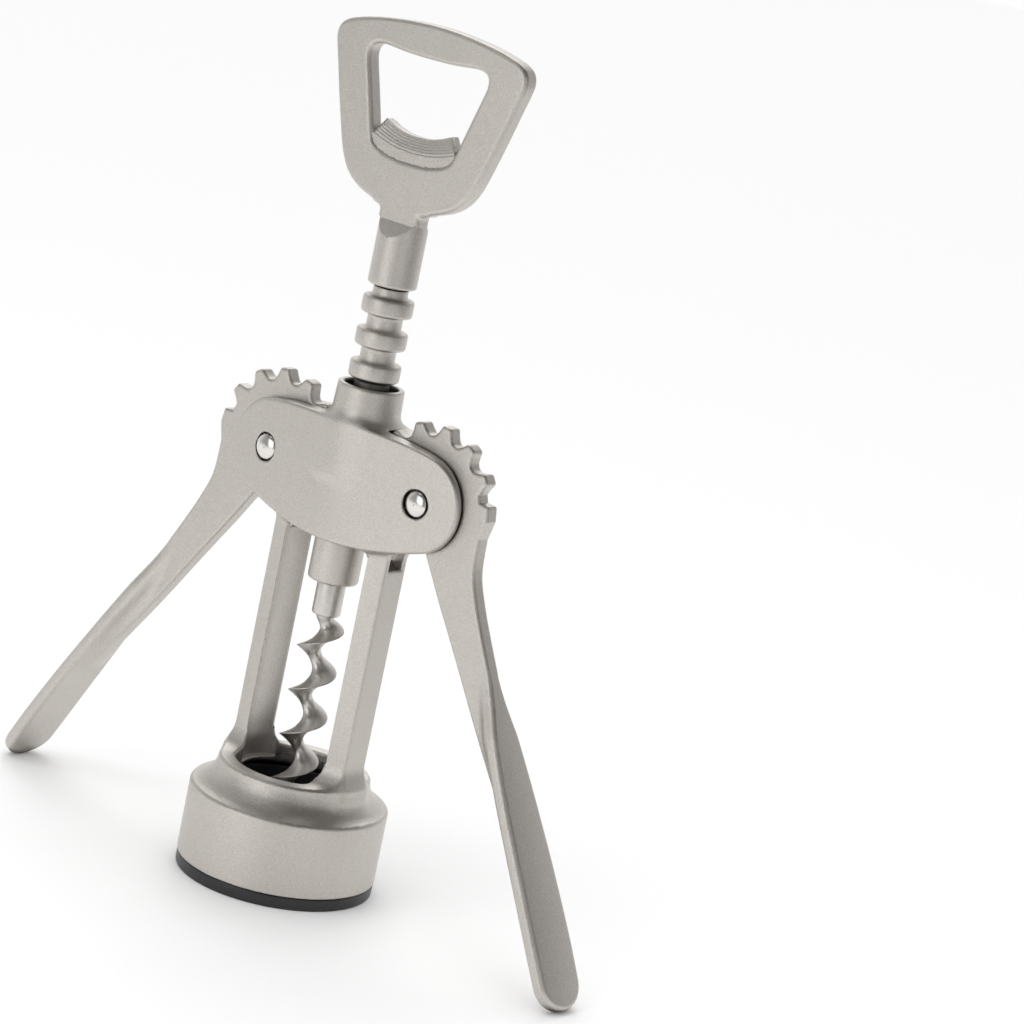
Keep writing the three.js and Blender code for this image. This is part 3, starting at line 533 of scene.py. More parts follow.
def bell_outline():
    """Half section of the bell as if it were solid: its wall, the cove above it and the rim."""
    cove = quadratic(
        (BELL_RADIUS - BELL_STEP, BELL_CYLINDER_TOP + BELL_STEP),
        (BELL_RADIUS - BELL_COVE_BOW_INSET, BELL_CYLINDER_TOP + BELL_COVE_BOW_RISE),
        (BELL_TOP_RADIUS, BELL_TOP - BELL_TOP_EDGE),
        BELL_COVE_STEPS,
    )
    rim = (BELL_TOP_RADIUS - BELL_TOP_EDGE, BELL_TOP)
    wall = [(0, BELL_FOOT), (BELL_RADIUS, BELL_FOOT), (BELL_RADIUS, BELL_CYLINDER_TOP), cove[0]]
    return [*softened(wall, BELL_EDGE, closed=False), *cove[1:], rim, (0, BELL_TOP)]


def bell_hollow():
    """Half section of the cavity and of the hole in the roof, past the axis and both ends."""
    inner = BELL_RADIUS - BELL_WALL
    above = BELL_TOP + BELL_WALL
    return [
        (-BELL_HOLE_RADIUS, 0),
        (inner, 0),
        (inner, BELL_CAVITY_SHOULDER),
        (BELL_CAVITY_TOP_RADIUS, BELL_CAVITY_WAIST),
        (BELL_CAVITY_TOP_RADIUS, BELL_ROOF_UNDERSIDE),
        (BELL_HOLE_RADIUS, BELL_ROOF_UNDERSIDE),
        (BELL_HOLE_RADIUS, above),
        (-BELL_HOLE_RADIUS, above),
    ]


def leg_outline():
    """Section of a leg: flat outside, hollow towards the spindle."""
    spread = math.degrees(math.asin(LEG_INNER_HALF_WIDTH / LEG_GROOVE_RADIUS))
    centre = (LEG_INNER_REACH - LEG_GROOVE_RADIUS, 0)
    inner = arc(centre, LEG_GROOVE_RADIUS, -spread, spread, LEG_ARC_STEPS)
    outer = [(LEG_OUTER_REACH, LEG_OUTER_HALF_WIDTH), (LEG_OUTER_REACH, -LEG_OUTER_HALF_WIDTH)]
    back = softened([inner[-2], inner[-1], *outer, inner[0], inner[1]], LEG_EDGE, closed=False)
    return [*inner[2:-2], *back]


def leg_groove(side, y, z):
    """The hollow face of a leg, which runs on down through the fillet at its foot."""
    flat = np.hypot(side - LEG_INNER_REACH + LEG_GROOVE_RADIUS, y) - LEG_GROOVE_RADIUS
    middle = (HEAD_BOTTOM + BELL_ROOF_UNDERSIDE) / 2
    return plate_field(flat, z - middle, HEAD_BOTTOM - middle, 0)


def head_outline():
    """Front view of the head: round ends about the pivots, a bowed underside and top."""
    centre = (PIVOT_REACH - HEAD_END_SETBACK, PIVOT_HEIGHT)
    end = arc(centre, HEAD_END_RADIUS, *HEAD_END_ANGLES, HEAD_END_STEPS)
    bottom_bow = (end[0][0] / 2, HEAD_BOTTOM)
    top_bow = (end[-1][0] * HEAD_TOP_BOW_SHARE, HEAD_TOP)
    bottom = quadratic((0, HEAD_BOTTOM), bottom_bow, end[0], HEAD_BOW_STEPS)
    top = quadratic(end[-1], top_bow, (0, HEAD_TOP), HEAD_BOW_STEPS)
    return mirrored([*bottom, *end[1:], *top[1:]])


def head_depth(x):
    """Half depth of the head: thick round the rack, thin at the pivots."""
    return HEAD_CENTRE_DEPTH - HEAD_TAPER_SHARE * (np.hypot(x, HEAD_NOSE) - HEAD_NOSE)


def lever_slot(side, y, z):
    """Room for a gear sector, which also opens the top of the leg."""
    disc = np.hypot(side - PIVOT_REACH, z - PIVOT_HEIGHT) - SLOT_RADIUS
    return plate_field(disc, y, LEVER_THICKNESS / 2 + LEVER_SLOT_CLEARANCE, 0)


def body_field(points):
    """The bell, the legs, the head and the neck joined with fillets, less the openings."""
    x, y, z = points.T
    side = np.abs(x)
    radius = np.hypot(x, y)
    bell = polygon_field(radius, z, BODY_OUTLINES["bell"])
    bell = cut(bell, polygon_field(radius, z, BODY_OUTLINES["hollow"]))
    leg_middle = (LEG_TOP + BELL_ROOF_UNDERSIDE) / 2
    leg = polygon_field(side, y, BODY_OUTLINES["leg"])
    leg = plate_field(leg, z - leg_middle, LEG_TOP - leg_middle, CAST_EDGE)
    head = plate_field(polygon_field(x, z, BODY_OUTLINES["head"]), y, head_depth(x), HEAD_EDGE)
    neck_middle = (NECK_TOP + PIVOT_HEIGHT) / 2
    taper = (NECK_BASE_RADIUS - NECK_RADIUS) * np.clip((NECK_TOP - z) / NECK_HEIGHT, 0, 1)
    neck = plate_field(radius - NECK_RADIUS - taper, z - neck_middle, NECK_TOP - neck_middle, CAST_EDGE)
    upper = joined(head, neck, NECK_FILLET)
    body = joined(joined(bell, leg, LEG_FOOT_FILLET), upper, LEG_HEAD_FILLET)
    body = cut(body, leg_groove(side, y, z))
    bore_foot = (HEAD_BOTTOM + BELL_TOP) / 2
    body = cut(body, np.maximum(radius - BORE_RADIUS, bore_foot - z))
    body = cut(body, lever_slot(side, y, z))
    from_pivot = np.hypot(side - PIVOT_REACH, z - PIVOT_HEIGHT)
    recess_floor = head_depth(PIVOT_REACH) - RIVET_RECESS_DEPTH
    recess = np.maximum(from_pivot - RIVET_RECESS_RADIUS, recess_floor - np.abs(y))
    body = cut(body, recess, CAST_EDGE / 2)
    return cut(body, from_pivot - RIVET_RADIUS - GAP, CAST_EDGE / 2)


BODY_OUTLINES = {
    "bell": bell_outline(),
    "hollow": bell_hollow(),
    "leg": leg_outline(),
    "head": head_outline(),
}


def body_casting(material):
    reach = PIVOT_REACH + HEAD_END_RADIUS
    low, high = (-reach, -BELL_RADIUS, BELL_FOOT), (reach, BELL_RADIUS, NECK_TOP)
    piece = add_mesh("body_casting_skin", *skin(body_field, low, high, BODY_CELL))
    dress(piece, material, "nickel", "frame", "body_casting")


# Bottle insert

def bottle_insert(material):
    ring_radius = BELL_RADIUS - RING_STEP
    sleeve = BELL_RADIUS - BELL_WALL - GAP
    bore = sleeve - LINER_WALL
    profile = [
        (bore, 0),
        (ring_radius, 0),
        (ring_radius, BELL_FOOT),
        (sleeve, BELL_FOOT),
        (sleeve, BELL_CAVITY_SHOULDER - GAP),
        (bore + LINER_TOP_WALL, LINER_TOP),
        (bore, LINER_TOP),
    ]
    piece = add_mesh("bottle_insert_skin", *lathe(softened(profile, RING_EDGE)))
    dress(piece, material, "black_plastic", "frame", "bottle_insert")


# Rack sleeve

def rack_sleeve(material):
    bore = SHAFT_RADIUS + GAP
    profile = [(bore, RACK_FOOT), (RACK_RADIUS, RACK_FOOT)]
    half = (RACK_PITCH - RACK_RING_HEIGHT) / 2
    for i in reversed(range(RACK_GROOVE_COUNT)):
        middle = RACK_TOP_GROOVE - i * RACK_PITCH
        profile += [(RACK_RADIUS, middle - half), (RACK_GROOVE_RADIUS, middle - half)]
        if i:
            profile += [(RACK_GROOVE_RADIUS, middle + half), (RACK_RADIUS, middle + half)]
    top = STEM_FOOT - GAP
    profile += [(RACK_GROOVE_RADIUS, top), (bore, top)]
    piece = add_mesh("rack_sleeve_skin", *lathe(softened(profile, RACK_RING_EDGE)))
    dress(piece, material, "nickel", "rack", "rack_sleeve")


# Levers, in the plane of the right one, measured from its pivot

def along_arm(distance, offset):
    """The point at a distance down the arm and an offset outwards from its line."""
    spread = math.radians(LEVER_SPREAD_ANGLE)
    across = distance * math.sin(spread) + offset * math.cos(spread)
    up = offset * math.sin(spread) - distance * math.cos(spread)
    return across, up


def meshed_tooth_angle():
    """The tooth nearest the rack sits in the groove nearest the pivot's height."""
    down = round((RACK_TOP_GROOVE - PIVOT_HEIGHT) / RACK_PITCH)
    groove = RACK_TOP_GROOVE - down * RACK_PITCH
    return math.degrees((groove - PIVOT_HEIGHT) / GEAR_RADIUS) - QUARTER_TURN


def tooth(angle):
    """Both flanks of the tooth at an angle."""
    flank = [
        (GEAR_ROOT_RADIUS, TOOTH_ROOT_WIDTH),
        (GEAR_RADIUS, TOOTH_PITCH_WIDTH),
        (GEAR_TIP_RADIUS, TOOTH_TIP_WIDTH),
    ]
    spread = [(radius, math.degrees(width / 2 / radius)) for radius, width in flank]
    rising = [polar(radius, angle - half) for radius, half in spread]
    falling = [polar(radius, angle + half) for radius, half in reversed(spread)]
    return rising + falling


def arm_length():
    """The arm is as long as it takes for its tip's rounded edge to touch the surface below."""
    spread = math.radians(LEVER_SPREAD_ANGLE)
    centre = ARM_OUTER_SHARES[-1][1] * ARM_OUTER_OFFSET - PADDLE_THICKNESS + PADDLE_EDGE
    return PADDLE_EDGE + (PIVOT_HEIGHT + centre * math.sin(spread) - PADDLE_EDGE) / math.cos(spread)


def arm_curve(shares):
    """Points along and off the arm, from shares of its length and of its outer offset."""
    places = [(along * arm_length(), off * ARM_OUTER_OFFSET) for along, off in shares]
    return spline(places, ARM_STEPS)


def web_outer_edge():
    """Outer edge of the arm, which moves in under the paddle where that has grown wide."""
    end = ARM_INNER_SHARES[0][0] * arm_length()
    edge = [(along, off) for along, off in arm_curve(ARM_OUTER_SHARES) if along < end]
    sunk = PADDLE_THICKNESS / 2
    return [along_arm(along, off - sunk * np.interp(along, WEB_RAMP, (0, 1))) for along, off in edge]


def lever_outline():
    """The flat of the lever: teeth, shoulder, outer edge, inner edge and hub."""
    meshed = meshed_tooth_angle()
    first = meshed - TEETH_INSIDE_MESH * TOOTH_ANGLE
    teeth = [polar(HUB_RADIUS, first - TOOTH_ANGLE), polar(GEAR_ROOT_RADIUS, first - TOOTH_ANGLE / 2)]
    for i in range(-TEETH_INSIDE_MESH, TEETH_OUTSIDE_MESH + 1):
        teeth += tooth(meshed + i * TOOTH_ANGLE)
    shoulder = [polar(GEAR_ROOT_RADIUS, SHOULDER_ANGLES[0] - TOOTH_ANGLE / 8)]
    shoulder += [polar(SHOULDER_RADIUS, angle) for angle in SHOULDER_ANGLES]
    points = softened(teeth, TOOTH_ROUND, closed=False)
    points += softened(shoulder, SHOULDER_ROUND, closed=False)
    points += web_outer_edge()
    points += [along_arm(*place) for place in arm_curve(ARM_INNER_SHARES)]
    hub_start = along_arm(HUB_RADIUS, ARM_INNER_OFFSET)
    start_angle = math.degrees(math.atan2(*hub_start))
    end_angle = first - TOOTH_ANGLE + 4 * QUARTER_TURN
    hub_turns = np.linspace(start_angle, end_angle, HUB_STEPS, endpoint=False)
    return points + [polar(HUB_RADIUS, angle) for angle in hub_turns]


def paddle_outline():
    """Half width against distance along the arm, closed by its mirror image."""
    length = arm_length() - PADDLE_START
    half = [
        (width * PADDLE_HALF_WIDTH, PADDLE_START + along * length)
        for along, width in PADDLE_WIDTH_SHARES
    ]
    last_width, last_along = half[-1]
    reach = arm_length() - last_along
    turns = np.linspace(0, math.pi / 2, PADDLE_TIP_STEPS + 1)[1:]
    tip = [(last_width * math.cos(t), last_along + reach * math.sin(t)) for t in turns]
    return mirrored([*spline(half, PADDLE_STEPS), *tip])


LEVER_OUTLINES = {"web": lever_outline(), "paddle": paddle_outline()}
ARM_OUTER_EDGE = np.array(arm_curve(ARM_OUTER_SHARES)).T


def lever_field(points):
    """The flat web with its gear sector, joined to the paddle across its outer edge."""
    x, y, z = points.T
    spread = math.radians(LEVER_SPREAD_ANGLE)
    along = x * math.sin(spread) - z * math.cos(spread)
    offset = x * math.cos(spread) + z * math.sin(spread)
    below_edge = offset - np.interp(along, *ARM_OUTER_EDGE)
    web = plate_field(polygon_field(x, z, LEVER_OUTLINES["web"]), y, LEVER_THICKNESS / 2, LEVER_EDGE)
    crown = PADDLE_CROWN * (y / PADDLE_HALF_WIDTH) ** 2
    paddle = polygon_field(y, along, LEVER_OUTLINES["paddle"])
    half = PADDLE_THICKNESS / 2
    paddle = plate_field(paddle, below_edge + half + crown, half, PADDLE_EDGE)
    growth = np.clip((along - PADDLE_START) / PADDLE_FILLET_RUN, PADDLE_FILLET_LEAST_SHARE, 1)
    lever = joined(web, paddle, PADDLE_FILLET * growth)
    lever = np.where(along > ARM_CLIP_START, np.maximum(lever, below_edge + crown), lever)
    return cut(lever, np.hypot(x, z) - RIVET_RADIUS - GAP)


def levers(material):
    reach = GEAR_TIP_RADIUS + LEVER_EDGE
    tip = along_arm(arm_length(), ARM_OUTER_OFFSET)
    low = (-reach, -PADDLE_HALF_WIDTH, -PIVOT_HEIGHT)
    high = (tip[0], PADDLE_HALF_WIDTH, reach)
    points, faces, normals = skin(lever_field, low, high, LEVER_CELL)
    for name, side in (("right_lever", 1), ("left_lever", -1)):
        turn = np.array([side, side, 1])
        placed = points * turn + (side * PIVOT_REACH, 0, PIVOT_HEIGHT)
        piece = add_mesh(f"{name}_skin", placed, faces, normals * turn)
        dress(piece, material, "nickel", name, name)


# Rivets

def rivets(material):
    seat = head_depth(PIVOT_REACH) - RIVET_RECESS_DEPTH + GAP
    dome = quadratic(
        (RIVET_DOME_HOLE, seat + RIVET_HEAD_HEIGHT),
        (RIVET_HEAD_RADIUS * RIVET_DOME_FLAT_SHARE, seat + RIVET_HEAD_HEIGHT),
        (RIVET_HEAD_RADIUS, seat + RIVET_HEAD_HEIGHT * RIVET_DOME_RIM_SHARE),
        RIVET_DOME_STEPS,
    )
    front = [*dome, (RIVET_HEAD_RADIUS, seat), (RIVET_RADIUS, seat)]
    profile = front + [(radius, -height) for radius, height in reversed(front)]
    points, faces = lathe(profile, SMALL_LATHE_SEGMENTS)
    x, y, z = points.T
    for name, side in (("right_pivot_rivet", 1), ("left_pivot_rivet", -1)):
        placed = np.stack([x + side * PIVOT_REACH, -z, y + PIVOT_HEIGHT], axis=1)
        piece = add_mesh(f"{name}_skin", placed, faces)
        dress(piece, material, "rivet_metal", "frame", name)


# Worm and shaft

def worm_points():
    """Rings of the worm from its tip up: one blade on a thin core."""
    top = SHANK_BOTTOM + GAP
    z = np.linspace(WORM_TIP, top, WORM_STEPS + 1)[:, None]
    taper = np.minimum(1, (z - WORM_TIP) / WORM_TAPER)
    run_out = np.clip((top - z) / WORM_RUN_OUT, 0, 1)
    run_out = run_out * run_out * (3 - 2 * run_out)
    size = np.maximum(taper, WORM_TIP_SHARE)
    lead = math.radians(WORM_START_ANGLE) + 2 * math.pi * (z - WORM_TIP) / WORM_PITCH
    angle = np.linspace(-math.pi, math.pi, WORM_SIDES, endpoint=False)[None, :]
    offset = WORM_CORE_OFFSET * run_out
    core = WORM_CORE_RADIUS + (SHANK_RADIUS - SHANK_WAIST - WORM_CORE_RADIUS) * (1 - run_out)
    body = offset * np.cos(angle) + np.sqrt(core ** 2 - (offset * np.sin(angle)) ** 2)
    share = np.minimum(1, np.abs(angle) / math.radians(WORM_BLADE_ANGLE))
    blade = (WORM_RADIUS - WORM_CORE_RADIUS - WORM_CORE_OFFSET) * run_out
    radius = body * size + blade * np.sqrt(taper) * (1 - share) ** WORM_BLADE_SHARPNESS
    x = radius * np.cos(lead + angle)
    y = radius * np.sin(lead + angle)
    return np.stack([x, y, np.broadcast_to(z, x.shape)], axis=-1).reshape(-1, 3)


def worm(material):
    """A tube through the rings, closed at both ends."""
    sides = [(i, (i + 1) % WORM_SIDES) for i in range(WORM_SIDES)]
    faces = []
    for ring in range(WORM_STEPS):
        low, high = ring * WORM_SIDES, (ring + 1) * WORM_SIDES
        faces += [(low + a, low + b, high + b, high + a) for a, b in sides]
    faces.append(tuple(reversed(range(WORM_SIDES))))
    faces.append(tuple(WORM_STEPS * WORM_SIDES + i for i in range(WORM_SIDES)))
    piece = add_mesh("worm_skin", yawed(worm_points()), faces)
    dress(piece, material, "worm_metal", "spindle", "worm_and_shaft")


def shaft(material):
    """The shank above the worm, and the thin shaft up through the rack into the stem."""
    shaft_top = STEM_FOOT + SOCKET_DEPTH - GAP
    shank_top = RACK_FOOT - GAP
    profile = [
        (AXIS_HOLE, SHANK_BOTTOM),
        (SHANK_RADIUS, SHANK_BOTTOM),
        (SHANK_RADIUS, shank_top),
        (SHAFT_RADIUS, shank_top),
        (SHAFT_RADIUS, shaft_top),
        (AXIS_HOLE, shaft_top),
    ]
    piece = add_mesh("shaft_skin", *lathe(softened(profile, SHANK_EDGE), SMALL_LATHE_SEGMENTS))
    dress(piece, material, "worm_metal", "spindle", "worm_and_shaft")


# Opener handle

def handle_points(shares):
    """Points of the plate's plane, from shares of its half width and of its height."""
    return [(across * HANDLE_HALF_WIDTH, HANDLE_PLATE_FOOT + up * HANDLE_HEIGHT) for across, up in shares]


def lip_flare(steps):
    """How much wider the lip is, some steps down from its edge."""
    return 1 + LIP_FLARE_SHARE * steps / LIP_STEPS


def lowered_lip_edge(steps):
    """Half of the lip's hollow edge, some steps lower and as much wider."""
    edge = spline(handle_points(LIP_EDGE_SHARES), LIP_STATIONS)
    return [(x * lip_flare(steps), z - steps * LIP_STEP_HEIGHT) for x, z in edge]


def handle_outlines():
    plate = mirrored(handle_points(HANDLE_OUTLINE_SHARES))
    window = mirrored(handle_points(WINDOW_OUTLINE_SHARES))
    return {
        "plate": spline(plate, HANDLE_CURVE_STEPS * len(plate), closed=True),
        "window": spline(window, HANDLE_CURVE_STEPS * len(window), closed=True),
        "ledge": mirrored(lowered_lip_edge(LIP_STEPS) + handle_points(LIP_LEDGE_SHARES)),
    }


HANDLE_OUTLINES = handle_outlines()


def handle_stem(x, y, z):
    """Round stem whose front and back run out into the faces of the plate."""
    middle = (STEM_FOOT + STEM_TOP) / 2
    half = (STEM_TOP - STEM_FOOT) / 2
    round_stem = plate_field(np.hypot(x, y) - STEM_RADIUS, z - middle, half, STEM_EDGE)
    run_out = np.clip((z - STEM_FLAT_FOOT) / STEM_FLAT_RUN_OUT, 0, 1)
    front = STEM_RADIUS + (HANDLE_THICKNESS / 2 + HANDLE_SET - STEM_RADIUS) * run_out
    back = STEM_RADIUS + (HANDLE_THICKNESS / 2 - HANDLE_SET - STEM_RADIUS) * run_out
    flats = np.maximum(-y - front, y - back)
    return np.where(z > STEM_FLAT_FOOT, np.maximum(round_stem, flats), round_stem)


def handle_field(points):
    """The plate less its window, the stem, the tongue that joins them, and the lip's ledge."""
    x, y, z = points.T
    across = y + HANDLE_SET
    tongue_foot = STEM_FLAT_FOOT + STEM_FLAT_RUN_OUT
    tongue = np.maximum(np.abs(x) - STEM_RADIUS, np.maximum(tongue_foot - z, z - STEM_TOP))
    flat = joined(polygon_field(x, z, HANDLE_OUTLINES["plate"]), tongue, STEM_FILLET)
    flat = np.maximum(flat, -polygon_field(x, z, HANDLE_OUTLINES["window"]))
    plate = plate_field(flat, across, HANDLE_THICKNESS / 2, HANDLE_EDGE)
    body = np.minimum(plate, handle_stem(x, y, z))
    ledge_middle = (LIP_FRONT_SETBACK - LIP_REAR_SETBACK) / 2
    ledge_half = (HANDLE_THICKNESS - LIP_FRONT_SETBACK - LIP_REAR_SETBACK) / 2
    ledge = polygon_field(x, z, HANDLE_OUTLINES["ledge"])
    ledge = plate_field(ledge, across - ledge_middle, ledge_half, LIP_EDGE)
    socket = np.maximum(np.hypot(x, y) - SHAFT_RADIUS - GAP, z - STEM_FOOT - SOCKET_DEPTH)
    return cut(np.minimum(body, ledge), socket)


def lip_profile():
    """Section of the stepped block: steps down from its edge, and place across the plate."""
    front = -HANDLE_THICKNESS / 2 + LIP_FRONT_SETBACK
    back = HANDLE_THICKNESS / 2 - LIP_REAR_SETBACK
    foot = LIP_STEPS + LIP_SINK_STEPS
    profile = [(0, back)]
    for i in range(LIP_STEPS):
        face = front + (LIP_STEPS - i) * LIP_STEP_DEPTH
        profile += [(i, face), (i + 1, face)]
    profile[-1] = (foot, face)
    profile += [(foot, back - LIP_EDGE), (LIP_STEPS, back)]
    return softened(profile, LIP_EDGE / 2, LIP_CORNER_STEPS)


def cap_lip(material):
    """Cap-lifting lip: a stepped block with a hollow upper edge, from horn to horn."""
    edge = np.array(lowered_lip_edge(0)).T
    profile = lip_profile()
    stations = np.linspace(-edge[0][-1], edge[0][-1], 2 * LIP_STATIONS + 1)
    points = []
    for station in stations:
        height = np.interp(abs(station), *edge)
        for steps, across in profile:
            place = (station * lip_flare(steps), across - HANDLE_SET, height - steps * LIP_STEP_HEIGHT)
            points.append(place)
    count = len(profile)
    last = (len(stations) - 1) * count
    faces = [tuple(range(count)), tuple(last + i for i in reversed(range(count)))]
    sides = [(i, (i + 1) % count) for i in range(count)]
    for near in range(0, last, count):
        far = near + count
        faces += [(near + a, far + a, far + b, near + b) for a, b in sides]
    piece = add_mesh("cap_lip_skin", yawed(points), faces)
    dress(piece, material, "nickel", "spindle", "opener_handle")


def opener_handle(material):
    low = (-HANDLE_HALF_WIDTH, -STEM_RADIUS, STEM_FOOT)
    high = (HANDLE_HALF_WIDTH, STEM_RADIUS, HANDLE_TOP)
    points, faces, normals = skin(handle_field, low, high, HANDLE_CELL)
    piece = add_mesh("opener_handle_skin", yawed(points), faces, yawed(normals))
    dress(piece, material, "nickel", "spindle", "opener_handle")


# Materials

NOISE_DETAIL = 3
DRIFT_SCALE = 70
DRIFT_ROUGHNESS = 0.6
DRIFT_SPREAD = 0.04
POLISH_SPREAD = 0.12
GRAIN_ROUGHNESS = 0.75
GRAIN_HEIGHT = 0.1
GRAIN_RANGE = (0.3, 0.7)
# Painted shade: the metal's colour darkens in a crevice, by the share of open space within reach
CREVICE_REACH = 4
CREVICE_SAMPLES = 8
CREVICE_SPREAD = (0.15, 0.6)
PAINTED_CREVICE_SHADE = 0.06
PLASTIC_COLOUR = (0.014, 0.014, 0.016, 1)
PLASTIC_POLISH = (0.32, 0.46)
PLASTIC_GRAIN_SCALE = 2500
PLASTIC_GRAIN_ROUGHNESS = 0.6
PLASTIC_GRAIN_DEPTH = 0.25
PLASTIC_GRAIN_HEIGHT = 0.05


class Nodes:
    """Small helper that adds and links shader nodes."""

    def __init__(self, name):
        self.material = bpy.data.materials.new(name)
        self.material.use_nodes = True
        self.tree = self.material.node_tree
        self.shader = self.tree.nodes["Principled BSDF"]

    def add(self, kind, **values):
        node = self.tree.nodes.new(kind)
        for key, value in values.items():
            setattr(node, key, value)
        return node

    def link(self, source, output, target, entry):
        self.tree.links.new(source.outputs[output], target.inputs[entry])

    def noise(self, scale, roughness):
        """Noise in the piece's own coordinates, in metres."""
        texture = self.add("ShaderNodeTexNoise")
        texture.inputs["Scale"].default_value = scale
        texture.inputs["Detail"].default_value = NOISE_DETAIL
        texture.inputs["Roughness"].default_value = roughness
        place = self.add("ShaderNodeTexCoord")
        self.link(place, "Object", texture, "Vector")
        return texture

    def ramp(self, source, output, low, high, spread=(0, 1)):
        """A value carried from its own spread to the range from low to high."""
        node = self.add("ShaderNodeMapRange")
        node.inputs["From Min"].default_value, node.inputs["From Max"].default_value = spread
        node.inputs["To Min"].default_value = low
        node.inputs["To Max"].default_value = high
        self.link(source, output, node, "Value")
        return node

    def bump(self, texture, depth, height):
        """Relief from a texture: its strength, and its height in millimetres."""
        node = self.add("ShaderNodeBump")
        node.inputs["Strength"].default_value = depth
        node.inputs["Distance"].default_value = height * MM
        self.link(texture, "Fac", node, "Height")
        self.link(node, "Normal", self.shader, "Normal")


def metal(name, colour, roughness, grain_scale, grain_depth, speckle):
    """Plated metal with a fine blasted grain, a slow drift of tone and polish, and shade painted darker
    into its crevices.
    """
    nodes = Nodes(name)
    nodes.shader.inputs["Metallic"].default_value = 1
    drift = nodes.noise(DRIFT_SCALE, DRIFT_ROUGHNESS)
    grain = nodes.noise(grain_scale, GRAIN_ROUGHNESS)
    tone = nodes.add("ShaderNodeMixRGB", blend_type="MIX")
    tone.inputs["Color1"].default_value = (*[c * (1 - DRIFT_SPREAD) for c in colour], 1)
    tone.inputs["Color2"].default_value = (*[c * (1 + DRIFT_SPREAD) for c in colour], 1)
    nodes.link(drift, "Fac", tone, "Fac")
    # Painted shade: an occlusion test darkens the base colour in crevices, where shade falls
    open_share = nodes.add("ShaderNodeAmbientOcclusion", samples=CREVICE_SAMPLES)
    open_share.inputs["Distance"].default_value = CREVICE_REACH * MM
    painted_crevice_shade = nodes.ramp(open_share, "AO", PAINTED_CREVICE_SHADE, 1, CREVICE_SPREAD)
    speckled = nodes.ramp(grain, "Fac", 1 - speckle, 1 + speckle, GRAIN_RANGE)
    # The base colour carries the real grain and the painted crevice shade together
    grain_and_shade_level = nodes.add("ShaderNodeMath", operation="MULTIPLY")
    nodes.link(speckled, "Result", grain_and_shade_level, 0)
    nodes.link(painted_crevice_shade, "Result", grain_and_shade_level, 1)
    grain_and_shade_colour = nodes.add("ShaderNodeVectorMath", operation="SCALE")
    nodes.link(tone, "Color", grain_and_shade_colour, "Vector")
    nodes.link(grain_and_shade_level, "Value", grain_and_shade_colour, "Scale")
    nodes.link(grain_and_shade_colour, "Vector", nodes.shader, "Base Color")
    polish = nodes.ramp(drift, "Fac", roughness * (1 - POLISH_SPREAD), roughness * (1 + POLISH_SPREAD))
    nodes.link(polish, "Result", nodes.shader, "Roughness")
    nodes.bump(grain, grain_depth, GRAIN_HEIGHT)
    return nodes.material


def black_plastic():
    """Moulded plastic with a fine spark-eroded grain."""
    nodes = Nodes("black_plastic")
    nodes.shader.inputs["Base Color"].default_value = PLASTIC_COLOUR
    grain = nodes.noise(PLASTIC_GRAIN_SCALE, PLASTIC_GRAIN_ROUGHNESS)
    polish = nodes.ramp(grain, "Fac", *PLASTIC_POLISH)
    nodes.link(polish, "Result", nodes.shader, "Roughness")
    nodes.bump(grain, PLASTIC_GRAIN_DEPTH, PLASTIC_GRAIN_HEIGHT)
    return nodes.material


# Stage: floor, lights and camera

PAPER_LEFT, PAPER_RIGHT = -4000, 340
PAPER_FRONT, PAPER_BACK = -460, 4000
PAPER_COLOUR = (0.97, 0.97, 0.97, 1)
PAPER_ROUGHNESS = 0.8
PAPER_SPECULAR = 0.1
WORLD_LIGHT = 0.84
# What metal mirrors: a pale backdrop on one side, shade on the other and overhead
BACKDROP_DIRECTION = (-0.7, 0.7, 0)
BACKDROP_SPREAD = (-0.3, 0.8)
BACKDROP_SHADE = 0.95
STUDIO_SHADE = 0.28
CEILING_SPREAD = (0.25, 0.9)
CEILING_SHADE = 0.3


def paper_floor():
    """White paper that runs on behind the object and ends in front of it."""
    mesh = bpy.data.meshes.new("floor")
    corners = [
        (PAPER_LEFT, PAPER_FRONT),
        (PAPER_RIGHT, PAPER_FRONT),
        (PAPER_RIGHT, PAPER_BACK),
        (PAPER_LEFT, PAPER_BACK),
    ]
    mesh.from_pydata([(x * MM, y * MM, 0) for x, y in corners], [], [(0, 1, 2, 3)])
    floor = bpy.data.objects.new("floor", mesh)
    bpy.context.scene.collection.objects.link(floor)
    nodes = Nodes("floor_paper")
    nodes.shader.inputs["Base Color"].default_value = PAPER_COLOUR
    nodes.shader.inputs["Roughness"].default_value = PAPER_ROUGHNESS
    nodes.shader.inputs["Specular IOR Level"].default_value = PAPER_SPECULAR
    mesh.materials.append(nodes.material)


